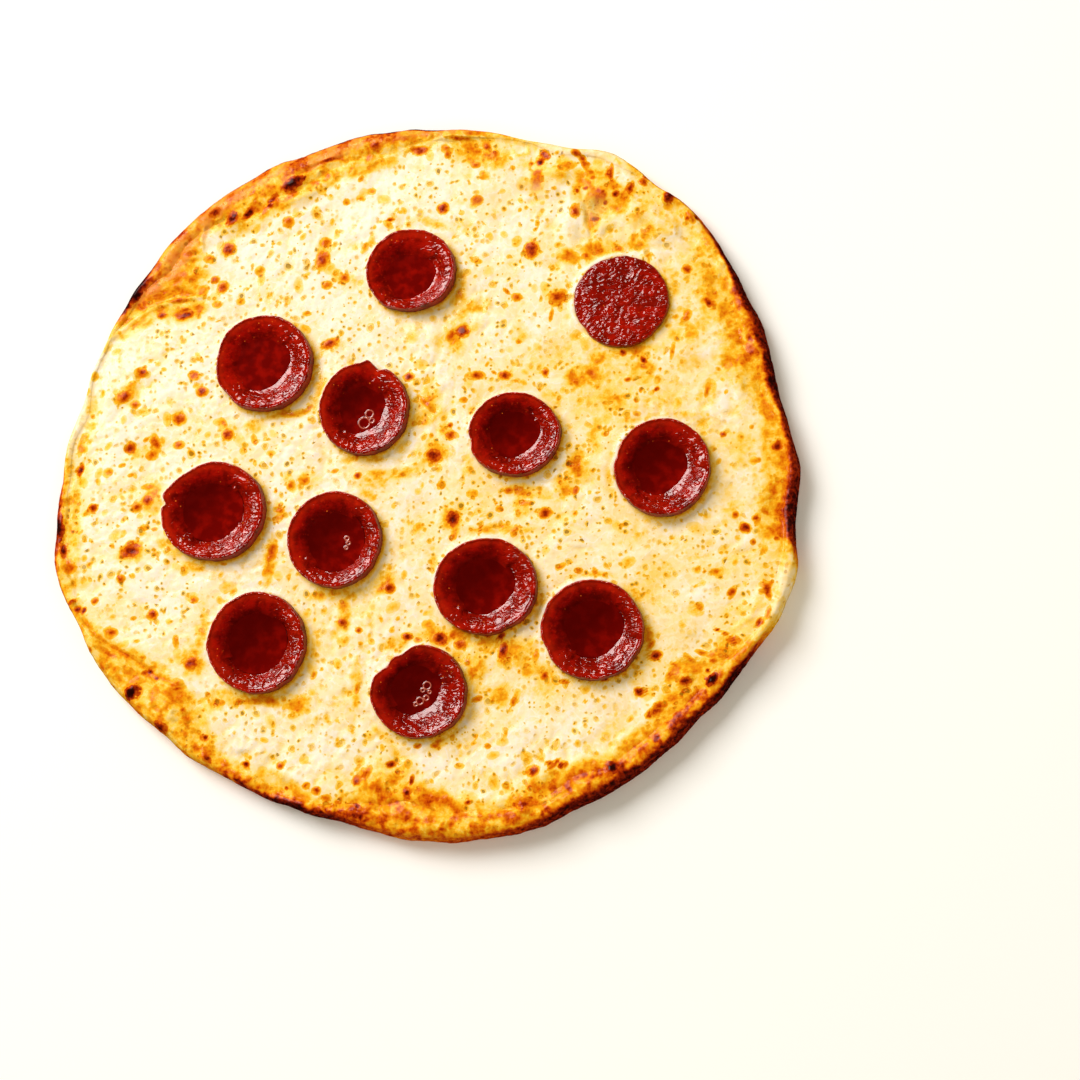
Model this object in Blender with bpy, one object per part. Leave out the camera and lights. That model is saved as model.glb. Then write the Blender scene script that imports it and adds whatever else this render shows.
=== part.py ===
"""Round flatbread baked with white cheese and twelve slices of cured red sausage.

The bread lies flat on its underside.  The origin is the middle of the bounding box at the
underside, +Z up.  Driving sizes are in millimetres and become metres when a mesh is made.
"""
import math

import bmesh
import bpy
import numpy as np
from mathutils import Vector
from mathutils.geometry import delaunay_2d_cdt

MM = 0.001
FIT_GAP = 0.3

# ---- bread ------------------------------------------------------------------------------
SEGMENTS = 144
BREAD_TABLE = 7.0
BREAD_BULGE_HEIGHT = 4.6
UNDERSIDE_INSET = 7.5
EDGE_RIPPLE = [(19, 0.30, 0.4), (31, 0.22, 2.1), (47, 0.16, 1.0)]
CREST_RIPPLE = [(13, 0.25, 0.9), (23, 0.30, 0.0), (37, 0.22, 2.6)]
SEAM_RIPPLE = [(14, 0.7, 1.3), (25, 0.7, 0.2), (39, 0.5, 2.9)]

# Outer edge of the dough: (direction in degrees, radius).
DOUGH_EDGE = [
    (0, 144.1), (10, 140.2), (20, 141.2), (32, 143.0), (44, 145.6), (53, 144.8), (60, 145.5),
    (66, 141.0), (75, 138.4), (85, 138.7), (100, 139.5), (112, 139.5), (125, 140.9),
    (140, 139.5), (152, 138.9), (165, 139.5), (175, 141.8), (185, 144.9), (196, 147.8),
    (203, 145.6), (212, 144.3), (225, 139.8), (240, 136.3), (255, 134.6), (265, 136.4),
    (275, 139.7), (285, 140.9), (300, 141.1), (315, 141.7), (330, 144.1), (337, 147.0),
    (344, 148.0), (350, 144.8),
]

# Where the cheese stops and the bare crust begins: (direction in degrees, radius).
CHEESE_EDGE = [
    (0, 137.6), (10, 135.0), (20, 131.0), (34, 137.5), (46, 140.5), (58, 140.0), (66, 136.5),
    (76, 134.0), (88, 131.0), (100, 127.5), (113, 124.5), (122, 124.5), (132, 130.0),
    (146, 132.0), (156, 135.0), (168, 135.5), (182, 137.5), (196, 141.5), (205, 138.0),
    (212, 130.0), (222, 126.5), (240, 129.5), (252, 129.5), (264, 123.5), (276, 127.0),
    (288, 130.0), (300, 130.5), (316, 132.5), (330, 137.0), (340, 142.0), (350, 139.0),
]

# Height of the crust's crest above the underside: (direction in degrees, height).
CREST = [
    (0, 10.6), (18, 11.0), (40, 9.9), (60, 10.6), (92, 11.0), (116, 12.0), (142, 11.6),
    (160, 9.8), (190, 10.2), (216, 11.4), (244, 10.0), (270, 11.4), (294, 12.4), (320, 11.4),
    (342, 11.8), (352, 10.8),
]

# Puffs and blisters: (direction in degrees, radius, reach outwards, reach along, rise).
CRUST_PUFFS = [
    (43.5, 143.0, 2.6, 2.4, 1.2), (48.3, 141.5, 3.0, 2.4, 1.6), (85.0, 135.0, 3.5, 6.0, 0.9),
    (99.0, 133.5, 4.0, 5.0, 0.8), (114.0, 128.0, 2.6, 4.0, 1.2), (126.0, 129.0, 3.0, 4.0, 1.3),
    (128.5, 135.5, 3.0, 2.8, 1.0), (146.5, 136.0, 2.4, 5.0, 0.9), (187.0, 142.5, 3.0, 5.0, 0.9),
    (199.0, 144.5, 3.0, 3.5, 0.9), (207.0, 140.5, 3.2, 4.5, 1.4), (217.0, 137.5, 3.6, 2.6, 1.6),
    (224.5, 136.5, 2.8, 2.8, 1.3), (233.0, 134.0, 2.6, 3.0, 1.0), (274.0, 133.0, 4.0, 7.0, 1.2),
    (288.5, 133.5, 3.5, 4.5, 1.4), (299.0, 135.0, 3.5, 5.0, 1.0), (304.0, 134.0, 2.6, 2.4, 1.5),
    (315.0, 137.0, 3.0, 5.0, 0.9), (324.5, 138.5, 3.0, 2.8, 1.3), (337.5, 144.0, 3.0, 5.0, 1.2),
    (344.0, 145.5, 3.0, 3.0, 0.9),
]

# ---- cheese -----------------------------------------------------------------------------
CHEESE_LEVEL = 10.2
CHEESE_EDGE_DROP = 0.45
CHEESE_SIDE_HEIGHT = 8.4
CHEESE_TUCK = 0.4
CHEESE_SHOULDER = 0.6
CHEESE_BORDER = 2.2
CHEESE_SPACING = 5.9
LUMP_COUNT = 260
LUMP_RANGE = 138.0
LUMP_RISE = (-0.7, 0.9)
LUMP_REACH = (4.5, 9.0)
LUMP_SEED = 11

# Bubbles baked into the cheese: (direction in degrees, radius, reach outwards, along, rise).
CHEESE_PUFFS = [
    (66.5, 130.5, 6.5, 6.0, 2.6), (57.5, 130.0, 4.5, 5.5, 1.6), (50.0, 131.0, 5.0, 5.0, 0.9),
    (72.0, 122.0, 5.0, 6.0, -0.9), (293.5, 125.5, 4.5, 6.0, 1.6), (315.5, 128.5, 3.6, 4.0, 1.2),
    (322.5, 128.5, 4.0, 3.6, 1.6), (337.0, 138.0, 4.0, 6.0, 1.2), (331.0, 131.5, 4.5, 3.6, 1.0),
    (265.0, 115.0, 5.0, 5.0, 0.8), (140.0, 124.0, 4.0, 8.0, 0.9), (214.0, 127.0, 4.5, 4.5, 1.0),
]

# ---- sausage slices ---------------------------------------------------------------------
SLICE_SEGMENTS = 24
SEAT_SINK = 0.9
SEAT_MARGIN = 0.8
SEAT_SLOPE = 2.0
CUP_HEIGHT = 6.0
FLAT_HEIGHT = 3.4
FLAT_ROUGHNESS = 0.35
OIL_SEGMENTS = 16
OIL_REACH = 0.97
OIL_MIDDLE = 0.55
OIL_RIM = 0.12

# Cupped slice in section: (share of its radius, share of its height, share of the cup's drift).
CUP_SECTION = [
    (0.90, 0.00, 0.0), (1.00, 0.30, 0.0), (0.96, 0.77, 0.0), (0.86, 1.00, 0.1),
    (0.71, 0.80, 0.5), (0.56, 0.49, 1.0), (0.36, 0.275, 1.0),
]
CUP_FLOOR = 0.245

# Flat slice in section: (share of its radius, share of its height).
FLAT_SECTION = [(0.93, 0.0), (1.0, 0.35), (0.96, 0.86), (0.74, 1.0), (0.38, 0.96)]

# Slices: middle x, middle y, radius, stretch along X, drift of the cup in x and y, size of the
# oil pool as a share of the radius (no pool on a flat slice), and breaks in the lip as
# (direction in degrees, half width in degrees, depth, loss of height).
SLICES = [
    (-4.0, 79.6, 16.6, 0.045, -0.8, -1.6, 0.46, [(236, 12, -0.7, 0.6)]),
    (77.5, 65.3, 17.8, 0.01, 0.0, 0.0, 0.0, [(215, 9, 0.8, 0.0), (318, 10, 0.7, 0.0)]),
    (-61.4, 44.1, 18.8, 0.01, -1.0, 0.4, 0.46, [(175, 20, 0.7, 0.2), (222, 9, 0.7, 0.5)]),
    (-21.1, 25.0, 17.4, -0.02, -1.3, 0.3, 0.43, [(71, 10, 1.9, 1.6), (88, 7, -0.9, -0.3)]),
    (37.3, 13.9, 16.6, 0.05, -0.6, 0.8, 0.46, [(188, 9, 0.8, 0.5)]),
    (93.4, 0.3, 18.0, -0.01, -1.2, 0.6, 0.46, [(165, 9, 0.8, 0.4)]),
    (-79.3, -13.9, 19.6, 0.03, -1.2, 0.5, 0.50,
     [(170, 7, 2.0, 1.5), (158, 7, -0.7, 0.0), (128, 20, 0.9, 0.3)]),
    (-31.3, -25.7, 18.1, -0.01, -0.3, 0.0, 0.52, [(335, 12, 0.4, 0.4)]),
    (27.1, -44.2, 18.7, 0.035, -0.9, 0.9, 0.48, [(300, 14, 0.6, 0.5)]),
    (67.6, -60.7, 18.7, 0.01, 0.0, 1.1, 0.48, [(204, 10, 0.6, 0.4)]),
    (-60.2, -64.9, 18.9, -0.01, -0.6, 0.6, 0.51, [(184, 8, -0.5, 0.2), (45, 10, 0.5, 0.4)]),
    (2.6, -83.6, 17.6, 0.02, -1.7, 1.2, 0.44, [(142, 14, 2.0, 2.2), (115, 14, 1.9, 1.6)]),
]

# ---- finishes: (red, green, blue), roughness ----------------------------------------------
FINISHES = {
    "bread": ((0.55, 0.27, 0.07), 0.62),
    "cheese": ((0.86, 0.73, 0.42), 0.38),
    "sausage": ((0.26, 0.02, 0.012), 0.33),
    "oil": ((0.11, 0.004, 0.003), 0.08),
}


def clear_scene():
    """Remove every object that the scene starts with."""
    for item in list(bpy.data.objects):
        bpy.data.objects.remove(item, do_unlink=True)


def make_material(name):
    """Return a Principled material with the named finish."""
    colour, roughness = FINISHES[name]
    material = bpy.data.materials.new(name)
    material.use_nodes = True
    shader = material.node_tree.nodes["Principled BSDF"]
    shader.inputs["Base Color"].default_value = (*colour, 1.0)
    shader.inputs["Roughness"].default_value = roughness
    shader.inputs["Metallic"].default_value = 0.0
    material.diffuse_color = (*colour, 1.0)
    return material


def finish_mesh(mesh_builder, name, material):
    """Turn a bmesh in millimetres into a smooth shaded object in metres."""
    bmesh.ops.recalc_face_normals(mesh_builder, faces=mesh_builder.faces)
    bmesh.ops.scale(mesh_builder, vec=Vector((MM, MM, MM)), verts=mesh_builder.verts)
    mesh = bpy.data.meshes.new(name)
    mesh_builder.to_mesh(mesh)
    mesh_builder.free()
    for face in mesh.polygons:
        face.use_smooth = True
    mesh.materials.append(material)
    item = bpy.data.objects.new(name, mesh)
    bpy.context.collection.objects.link(item)
    return item


def closed_curve(table, degrees):
    """Smooth closed curve through (direction, value) pairs, read at the given directions."""
    knots = np.array(table, dtype=float)
    turn = np.array([360.0, 0.0])
    knots = np.concatenate([knots[-3:] - turn, knots, knots[:3] + turn])
    angle = knots[:, 0]
    value = knots[:, 1]
    slope = np.gradient(value, angle)
    at = np.mod(degrees, 360.0)
    left = np.clip(np.searchsorted(angle, at, side="right") - 1, 0, len(angle) - 2)
    width = angle[left + 1] - angle[left]
    share = (at - angle[left]) / width
    start = (1.0 + 2.0 * share) * (1.0 - share) ** 2 * value[left]
    start += share * (1.0 - share) ** 2 * width * slope[left]
    end = share ** 2 * (3.0 - 2.0 * share) * value[left + 1]
    end += share ** 2 * (share - 1.0) * width * slope[left + 1]
    return start + end


def ripple(waves, degrees):
    """Sum of small waves round the edge, each (number round the edge, size, start)."""
    turn = np.radians(degrees)
    total = np.zeros_like(turn)
    for number, size, start in waves:
        total += size * np.sin(number * turn + start)
    return total


def dough_radius(degrees):
    """Outer radius of the dough in each direction."""
    return closed_curve(DOUGH_EDGE, degrees) + ripple(EDGE_RIPPLE, degrees)


def cheese_radius(degrees):
    """Radius at which the cheese ends in each direction."""
    return closed_curve(CHEESE_EDGE, degrees) + ripple(SEAM_RIPPLE, degrees)


def puff_height(puffs, x, y):
    """Sum of rounded bubbles, each longer along the edge than across it where stated."""
    total = np.zeros_like(x)
    for direction, radius, reach_out, reach_along, rise in puffs:
        turn = math.radians(direction)
        out = x * math.cos(turn) + y * math.sin(turn) - radius
        along = y * math.cos(turn) - x * math.sin(turn)
        total += rise * np.exp(-((out / reach_out) ** 2) - (along / reach_along) ** 2)
    return total


def make_lumps():
    """Seeded soft lumps of the melted cheese: x, y, reach and rise."""
    chance = np.random.default_rng(LUMP_SEED)
    radius = LUMP_RANGE * np.sqrt(chance.random(LUMP_COUNT))
    turn = 2.0 * math.pi * chance.random(LUMP_COUNT)
    reach = chance.uniform(*LUMP_REACH, LUMP_COUNT)
    rise = chance.uniform(*LUMP_RISE, LUMP_COUNT)
    return np.stack([radius * np.cos(turn), radius * np.sin(turn), reach, rise], axis=1)


LUMPS = make_lumps()


def cheese_height(x, y):
    """Height of the cheese's top above the underside, without the seats of the slices."""
    height = np.full_like(x, CHEESE_LEVEL)
    for lump_x, lump_y, reach, rise in LUMPS:
        height += rise * np.exp(-((x - lump_x) ** 2 + (y - lump_y) ** 2) / reach ** 2)
    return height + puff_height(CHEESE_PUFFS, x, y)


def seat_height(x, y, radius):
    """Height of the flat seat pressed into the cheese under one slice."""
    turn = np.linspace(0.0, 2.0 * math.pi, SLICE_SEGMENTS, endpoint=False)
    ring = cheese_height(x + radius * np.cos(turn), y + radius * np.sin(turn))
    return float(np.mean(ring)) - SEAT_SINK


def polar_ring(radius, height, degrees):
    """Ring of points at the given radii and heights."""
    turn = np.radians(degrees)
    level = np.broadcast_to(height, radius.shape)
    return np.stack([radius * np.cos(turn), radius * np.sin(turn), level], axis=1)


def add_ring(mesh_builder, ring):
    """Add one ring of vertices and return them in order."""
    return [mesh_builder.verts.new(Vector(point)) for point in ring.tolist()]


def join_rings(mesh_builder, lower, upper):
    """Join two rings of equal length with a band of four-sided faces."""
    count = len(lower)
    for index in range(count):
        after = (index + 1) % count
        corners = (lower[index], lower[after], upper[after], upper[index])
        mesh_builder.faces.new(corners)


def close_with_fan(mesh_builder, ring, point):
    """Close a ring with triangles that meet at one point."""
    tip = mesh_builder.verts.new(Vector(point))
    count = len(ring)
    for index in range(count):
        mesh_builder.faces.new((ring[index], ring[(index + 1) % count], tip))


def build_bread(material):
    """Dough with a flat underside, a rounded side and a blistered crust round a flat table."""
    degrees = np.arange(SEGMENTS) * 360.0 / SEGMENTS
    outer = dough_radius(degrees)
    inner = cheese_radius(degrees) + FIT_GAP
    crest = closed_curve(CREST, degrees) + ripple(CREST_RIPPLE, degrees)
    width = outer - inner
    # Share of the crust's width in from the edge, and share of the crest's height.
    section = [(0.10, 0.80), (0.26, 0.955), (0.46, 1.0), (0.70, 0.97), (0.90, 0.90)]
    rings = [
        polar_ring(outer - UNDERSIDE_INSET, 0.0, degrees),
        polar_ring(outer - UNDERSIDE_INSET * 0.32, 1.1, degrees),
        polar_ring(outer, BREAD_BULGE_HEIGHT, degrees),
    ]
    for across, up in section:
        radius = outer - across * width
        ring = polar_ring(radius, crest * up, degrees)
        ring[:, 2] += puff_height(CRUST_PUFFS, ring[:, 0], ring[:, 1])
        rings.append(ring)
    rings.append(polar_ring(inner, BREAD_TABLE, degrees))

    mesh_builder = bmesh.new()
    placed = [add_ring(mesh_builder, ring) for ring in rings]
    for lower, upper in zip(placed, placed[1:]):
        join_rings(mesh_builder, lower, upper)
    mesh_builder.faces.new(placed[0])
    mesh_builder.faces.new(placed[-1])
    return finish_mesh(mesh_builder, "bread", material)


def cheese_points():
    """Points of the cheese's top inside its border: seats, their slopes and the open field."""
    points = []
    heights = []
    turn = np.linspace(0.0, 2.0 * math.pi, SLICE_SEGMENTS, endpoint=False)
    for x, y, radius, *_ in SLICES:
        seat = seat_height(x, y, radius)
        reach = radius + SEAT_MARGIN
        for ring_radius, level in ((reach, seat), (reach + SEAT_SLOPE, None)):
            ring_x = x + ring_radius * np.cos(turn)
            ring_y = y + ring_radius * np.sin(turn)
            ring_z = cheese_height(ring_x, ring_y) if level is None else np.full_like(turn, level)
            points.append(np.stack([ring_x, ring_y], axis=1))
            heights.append(ring_z)
        points.append(np.array([[x, y]]))
        heights.append(np.array([seat]))

    step = CHEESE_SPACING
    rows = np.arange(-150.0, 150.0, step * math.sqrt(0.75))
    columns = np.arange(-150.0, 150.0, step)
    grid_x, grid_y = np.meshgrid(columns, rows)
    grid_x = grid_x + np.where(np.arange(len(rows)) % 2 == 0, 0.0, step / 2.0)[:, None]
    grid_x = grid_x.ravel()
    grid_y = grid_y.ravel()
    border = cheese_radius(np.degrees(np.arctan2(grid_y, grid_x))) - CHEESE_BORDER
    keep = np.hypot(grid_x, grid_y) < border - 0.62 * step
    for x, y, radius, *_ in SLICES:
        clear = radius + SEAT_MARGIN + SEAT_SLOPE + 0.5 * step
        keep &= np.hypot(grid_x - x, grid_y - y) > clear
    points.append(np.stack([grid_x[keep], grid_y[keep]], axis=1))
    heights.append(cheese_height(grid_x[keep], grid_y[keep]))
    return np.concatenate(points), np.concatenate(heights)


def build_cheese(material):
    """Melted cheese: a lumpy sheet with a rounded border and a flat seat for each slice."""
    degrees = np.arange(SEGMENTS) * 360.0 / SEGMENTS
    edge = cheese_radius(degrees)
    border = polar_ring(edge - CHEESE_BORDER, 0.0, degrees)
    border[:, 2] = cheese_height(border[:, 0], border[:, 1])
    shoulder = polar_ring(edge - CHEESE_SHOULDER, border[:, 2] - CHEESE_EDGE_DROP, degrees)
    side = polar_ring(edge, CHEESE_SIDE_HEIGHT, degrees)
    bottom = polar_ring(edge - CHEESE_TUCK, BREAD_TABLE + FIT_GAP, degrees)

    mesh_builder = bmesh.new()
    placed = [add_ring(mesh_builder, ring) for ring in (bottom, side, shoulder, border)]
    for lower, upper in zip(placed, placed[1:]):
        join_rings(mesh_builder, lower, upper)
    mesh_builder.faces.new(placed[0])

    field, heights = cheese_points()
    flat = [Vector(point) for point in border[:, :2].tolist() + field.tolist()]
    loop = [list(range(SEGMENTS))]
    corners, _, faces, origin, *_ = delaunay_2d_cdt(flat, [], loop, 1, 1e-5)
    own = {source[0]: index for index, source in enumerate(origin) if source}
    verts = [None] * len(corners)
    for source, index in own.items():
        if source < SEGMENTS:
            verts[index] = placed[-1][source]
        else:
            x, y = field[source - SEGMENTS].tolist()
            verts[index] = mesh_builder.verts.new((x, y, float(heights[source - SEGMENTS])))
    for face in faces:
        mesh_builder.faces.new([verts[index] for index in face])
    return finish_mesh(mesh_builder, "cheese", material)


def lip_breaks(breaks, degrees):
    """Loss of radius and of height round a slice's lip."""
    depth = np.zeros_like(degrees)
    drop = np.zeros_like(degrees)
    for direction, half_width, cut, loss in breaks:
        away = (degrees - direction + 180.0) % 360.0 - 180.0
        bell = np.exp(-((away / half_width) ** 2))
        depth += cut * bell
        drop += loss * bell
    return depth, drop


def slice_plan(radius, stretch, breaks, degrees):
    """Outer radius and loss of lip height in each direction of one slice."""
    depth, drop = lip_breaks(breaks, degrees)
    oval = radius * (1.0 + stretch * np.cos(np.radians(2.0 * degrees)))
    return oval - depth, drop


def build_slice(number, spec, material):
    """One slice: a thick-walled cup with a rounded lip, or a rough flat round."""
    x, y, radius, stretch, drift_x, drift_y, pool, breaks = spec
    degrees = np.arange(SLICE_SEGMENTS) * 360.0 / SLICE_SEGMENTS
    outline, drop = slice_plan(radius, stretch, breaks, degrees)
    base = seat_height(x, y, radius) + FIT_GAP
    mesh_builder = bmesh.new()
    placed = []
    if pool:
        for share, up, drift in CUP_SECTION:
            level = base + up * CUP_HEIGHT - drop * up ** 2
            ring = polar_ring(share * outline, level, degrees)
            ring[:, 0] += x + drift * drift_x
            ring[:, 1] += y + drift * drift_y
            placed.append(add_ring(mesh_builder, ring))
        middle = (x + drift_x, y + drift_y, base + CUP_FLOOR * CUP_HEIGHT)
    else:
        for share, up in FLAT_SECTION:
            rough = FLAT_ROUGHNESS * up * np.sin(np.radians(degrees * 5.0) + 9.0 * share)
            ring = polar_ring(share * outline, base + up * FLAT_HEIGHT + rough, degrees)
            ring[:, 0] += x
            ring[:, 1] += y
            placed.append(add_ring(mesh_builder, ring))
        middle = (x, y, base + FLAT_HEIGHT)
    for lower, upper in zip(placed, placed[1:]):
        join_rings(mesh_builder, lower, upper)
    mesh_builder.faces.new(placed[0])
    close_with_fan(mesh_builder, placed[-1], middle)
    return finish_mesh(mesh_builder, f"sausage_{number:02d}", material)


def cup_height(share):
    """Height of the cup's inner wall at a share of the slice's radius."""
    shares = [0.0] + [row[0] for row in reversed(CUP_SECTION[3:])]
    levels = [CUP_FLOOR] + [row[1] for row in reversed(CUP_SECTION[3:])]
    return CUP_HEIGHT * float(np.interp(share, shares, levels))


def build_oil(number, spec, material):
    """Pool of red oil: level on top, following the cup below."""
    x, y, radius, _, drift_x, drift_y, pool, _ = spec
    base = seat_height(x, y, radius) + FIT_GAP
    degrees = np.arange(OIL_SEGMENTS) * 360.0 / OIL_SEGMENTS
    top = base + cup_height(pool) + FIT_GAP
    mesh_builder = bmesh.new()
    placed = []
    middle = np.array([x + drift_x, y + drift_y, 0.0])
    for share in (OIL_MIDDLE, OIL_REACH):
        reach = share * pool
        level = min(base + cup_height(reach) + FIT_GAP, top - OIL_RIM)
        ring = polar_ring(np.full(OIL_SEGMENTS, reach * radius), level, degrees)
        placed.append(add_ring(mesh_builder, ring + middle))
    rim = polar_ring(np.full(OIL_SEGMENTS, OIL_REACH * pool * radius), top, degrees)
    placed.append(add_ring(mesh_builder, rim + middle))
    join_rings(mesh_builder, placed[0], placed[1])
    join_rings(mesh_builder, placed[1], placed[2])
    low = (x + drift_x, y + drift_y, base + cup_height(0.0) + FIT_GAP)
    close_with_fan(mesh_builder, placed[0], low)
    mesh_builder.faces.new(placed[2])
    return finish_mesh(mesh_builder, f"oil_{number:02d}", material)


def main():
    """Build the flatbread."""
    clear_scene()
    materials = {name: make_material(name) for name in FINISHES}
    build_bread(materials["bread"])
    build_cheese(materials["cheese"])
    for number, spec in enumerate(SLICES, start=1):
        build_slice(number, spec, materials["sausage"])
        if spec[6]:
            build_oil(number, spec, materials["oil"])


main()
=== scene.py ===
"""Looks of a round cheese flatbread with twelve slices of cured red sausage.

The bread lies on a pale floor.  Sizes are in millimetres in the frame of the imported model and
become metres when a mesh is made.  Every surface is a function of two parameters, worked out
on a numpy grid.
"""
import logging
import math
from collections.abc import Callable
from dataclasses import dataclass
from enum import Enum

import bpy
import numpy as np
from mathutils import Matrix, Vector


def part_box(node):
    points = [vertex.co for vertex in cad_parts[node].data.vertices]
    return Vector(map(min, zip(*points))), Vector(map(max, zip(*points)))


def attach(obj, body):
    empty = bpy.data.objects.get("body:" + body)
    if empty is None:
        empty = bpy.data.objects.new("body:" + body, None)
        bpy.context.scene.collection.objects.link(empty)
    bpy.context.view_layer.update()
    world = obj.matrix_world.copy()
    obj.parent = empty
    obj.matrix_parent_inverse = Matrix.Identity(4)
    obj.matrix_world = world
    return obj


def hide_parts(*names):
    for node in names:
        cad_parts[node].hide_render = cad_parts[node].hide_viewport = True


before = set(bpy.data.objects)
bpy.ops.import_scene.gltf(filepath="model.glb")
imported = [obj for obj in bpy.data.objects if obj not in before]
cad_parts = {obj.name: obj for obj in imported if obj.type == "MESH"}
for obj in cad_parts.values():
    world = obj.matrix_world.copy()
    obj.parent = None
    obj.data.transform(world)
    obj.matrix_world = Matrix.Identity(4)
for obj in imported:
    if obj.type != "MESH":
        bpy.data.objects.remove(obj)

LOG = logging.getLogger("flatbread")
MM = 0.001
FULL_TURN = 2.0 * math.pi
# Size of the tables behind the noise.
LATTICE = 256

Pairs = list[tuple[float, float]]
Spot = tuple[float, float, float, float, float, float]
Colour = tuple[float, float, float]
Faces = list[np.ndarray]

# ---- the baked round, as in the solids ----------------------------------------------------
BREAD_TABLE = 7.0
BULGE_HEIGHT = 4.6
UNDERSIDE_INSET = 7.5
EDGE_RIPPLE = [(19, 0.30, 0.4), (31, 0.22, 2.1), (47, 0.16, 1.0)]
CREST_RIPPLE = [(13, 0.25, 0.9), (23, 0.30, 0.0), (37, 0.22, 2.6)]
SEAM_RIPPLE = [(14, 0.7, 1.3), (25, 0.7, 0.2), (39, 0.5, 2.9)]

DOUGH_EDGE: Pairs = [
    (0, 144.1), (10, 140.2), (20, 141.2), (32, 143.0), (44, 145.6), (53, 144.8), (60, 145.5),
    (66, 141.0), (75, 138.4), (85, 138.7), (100, 139.5), (112, 139.5), (125, 140.9),
    (140, 139.5), (152, 138.9), (165, 139.5), (175, 141.8), (185, 144.9), (196, 147.8),
    (203, 145.6), (212, 144.3), (225, 139.8), (240, 136.3), (255, 134.6), (265, 136.4),
    (275, 139.7), (285, 140.9), (300, 141.1), (315, 141.7), (330, 144.1), (337, 147.0),
    (344, 148.0), (350, 144.8),
]
CHEESE_EDGE: Pairs = [
    (0, 137.6), (10, 135.0), (20, 131.0), (34, 137.5), (46, 140.5), (58, 140.0), (66, 136.5),
    (76, 134.0), (88, 131.0), (100, 127.5), (113, 124.5), (122, 124.5), (132, 130.0),
    (146, 132.0), (156, 135.0), (168, 135.5), (182, 137.5), (196, 141.5), (205, 138.0),
    (212, 130.0), (222, 126.5), (240, 129.5), (252, 129.5), (264, 123.5), (276, 127.0),
    (288, 130.0), (300, 130.5), (316, 132.5), (330, 137.0), (340, 142.0), (350, 139.0),
]
CREST: Pairs = [
    (0, 10.6), (18, 11.0), (40, 9.9), (60, 10.6), (92, 11.0), (116, 12.0), (142, 11.6),
    (160, 9.8), (190, 10.2), (216, 11.4), (244, 10.0), (270, 11.4), (294, 12.4), (320, 11.4),
    (342, 11.8), (352, 10.8),
]
# Toast on the outer edge: 0 pale, 0.5 orange, 1 burnt.
EDGE_TOAST: Pairs = [
    (0, 0.84), (8, 0.84), (14, 0.92), (24, 0.88), (32, 0.92), (38, 0.84), (43, 0.60), (56, 0.34),
    (64, 0.22), (74, 0.28), (82, 0.66), (88, 0.90), (110, 0.95), (126, 0.93), (136, 0.80),
    (144, 0.92), (150, 0.98), (154, 0.45), (160, 0.16), (170, 0.20), (178, 0.62), (187, 0.80),
    (196, 0.55), (204, 0.40), (222, 0.46), (238, 0.55), (246, 0.88), (256, 0.90), (266, 0.62),
    (278, 0.66), (290, 0.85), (305, 0.90), (320, 0.88), (331, 0.84), (336, 0.36), (344, 0.20),
    (349, 0.80),
]
# Toast on top of the bare crust.
TOP_TOAST: Pairs = [
    (0, 0.36), (14, 0.44), (26, 0.42), (38, 0.28), (55, 0.28), (70, 0.20), (82, 0.38),
    (95, 0.46), (110, 0.48), (124, 0.48), (140, 0.50), (152, 0.40), (160, 0.10), (172, 0.12),
    (184, 0.34), (198, 0.30), (212, 0.40), (230, 0.47), (240, 0.61), (250, 0.66), (262, 0.57),
    (280, 0.50), (296, 0.53), (312, 0.54), (328, 0.42), (337, 0.18), (345, 0.18), (352, 0.44),
]
# How far in from the edge the edge's toast reaches, in mm.
TOAST_REACH: Pairs = [
    (0, 4.6), (8, 3.0), (14, 4.0), (26, 4.4), (38, 2.0), (50, 1.2), (80, 1.2), (92, 1.9),
    (120, 1.9), (140, 1.8), (147, 4.0), (153, 1.4), (180, 1.8), (188, 3.6), (200, 1.4),
    (238, 1.4), (250, 2.8), (270, 1.8), (284, 2.6), (296, 3.8), (320, 3.4), (335, 1.4),
    (345, 0.8), (350, 3.6), (356, 6.0),
]
# Tone of the untoasted cheese in each direction.
CHEESE_TONE: Pairs = [
    (22, 0.18), (67, 0.10), (112, 0.03), (157, 0.06), (202, 0.10), (247, 0.13), (292, 0.13),
    (337, 0.16),
]
# Radius at which the colour of crust gives way to the colour of cheese.
COLOUR_SEAM: Pairs = [
    (0, 135.0), (8, 134.0), (15, 129.0), (25, 129.0), (33, 131.0), (40, 137.0), (50, 141.0),
    (60, 143.0), (70, 138.0), (80, 133.0), (88, 133.0), (95, 131.0), (101, 127.0), (108, 124.0),
    (115, 121.5), (122, 124.5), (128, 131.0), (133, 131.0), (136, 127.0), (140, 118.0),
    (145, 115.0), (149, 126.0), (153, 134.0), (158, 140.0), (174, 139.0), (182, 136.0),
    (190, 138.5), (198, 142.5), (203, 141.0), (207, 137.0), (212, 130.0), (218, 124.5),
    (224, 122.0), (228, 128.0), (234, 131.0), (240, 132.0), (252, 131.0), (258, 127.0),
    (262, 121.0), (270, 119.0), (276, 123.0), (284, 131.0), (288, 130.0), (293, 126.0),
    (299, 127.0), (304, 131.0), (310, 131.0), (316, 131.0), (321, 128.0), (326, 130.0),
    (332, 134.0), (338, 139.0), (345, 143.0), (350, 135.0), (356, 133.0),
]
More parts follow.
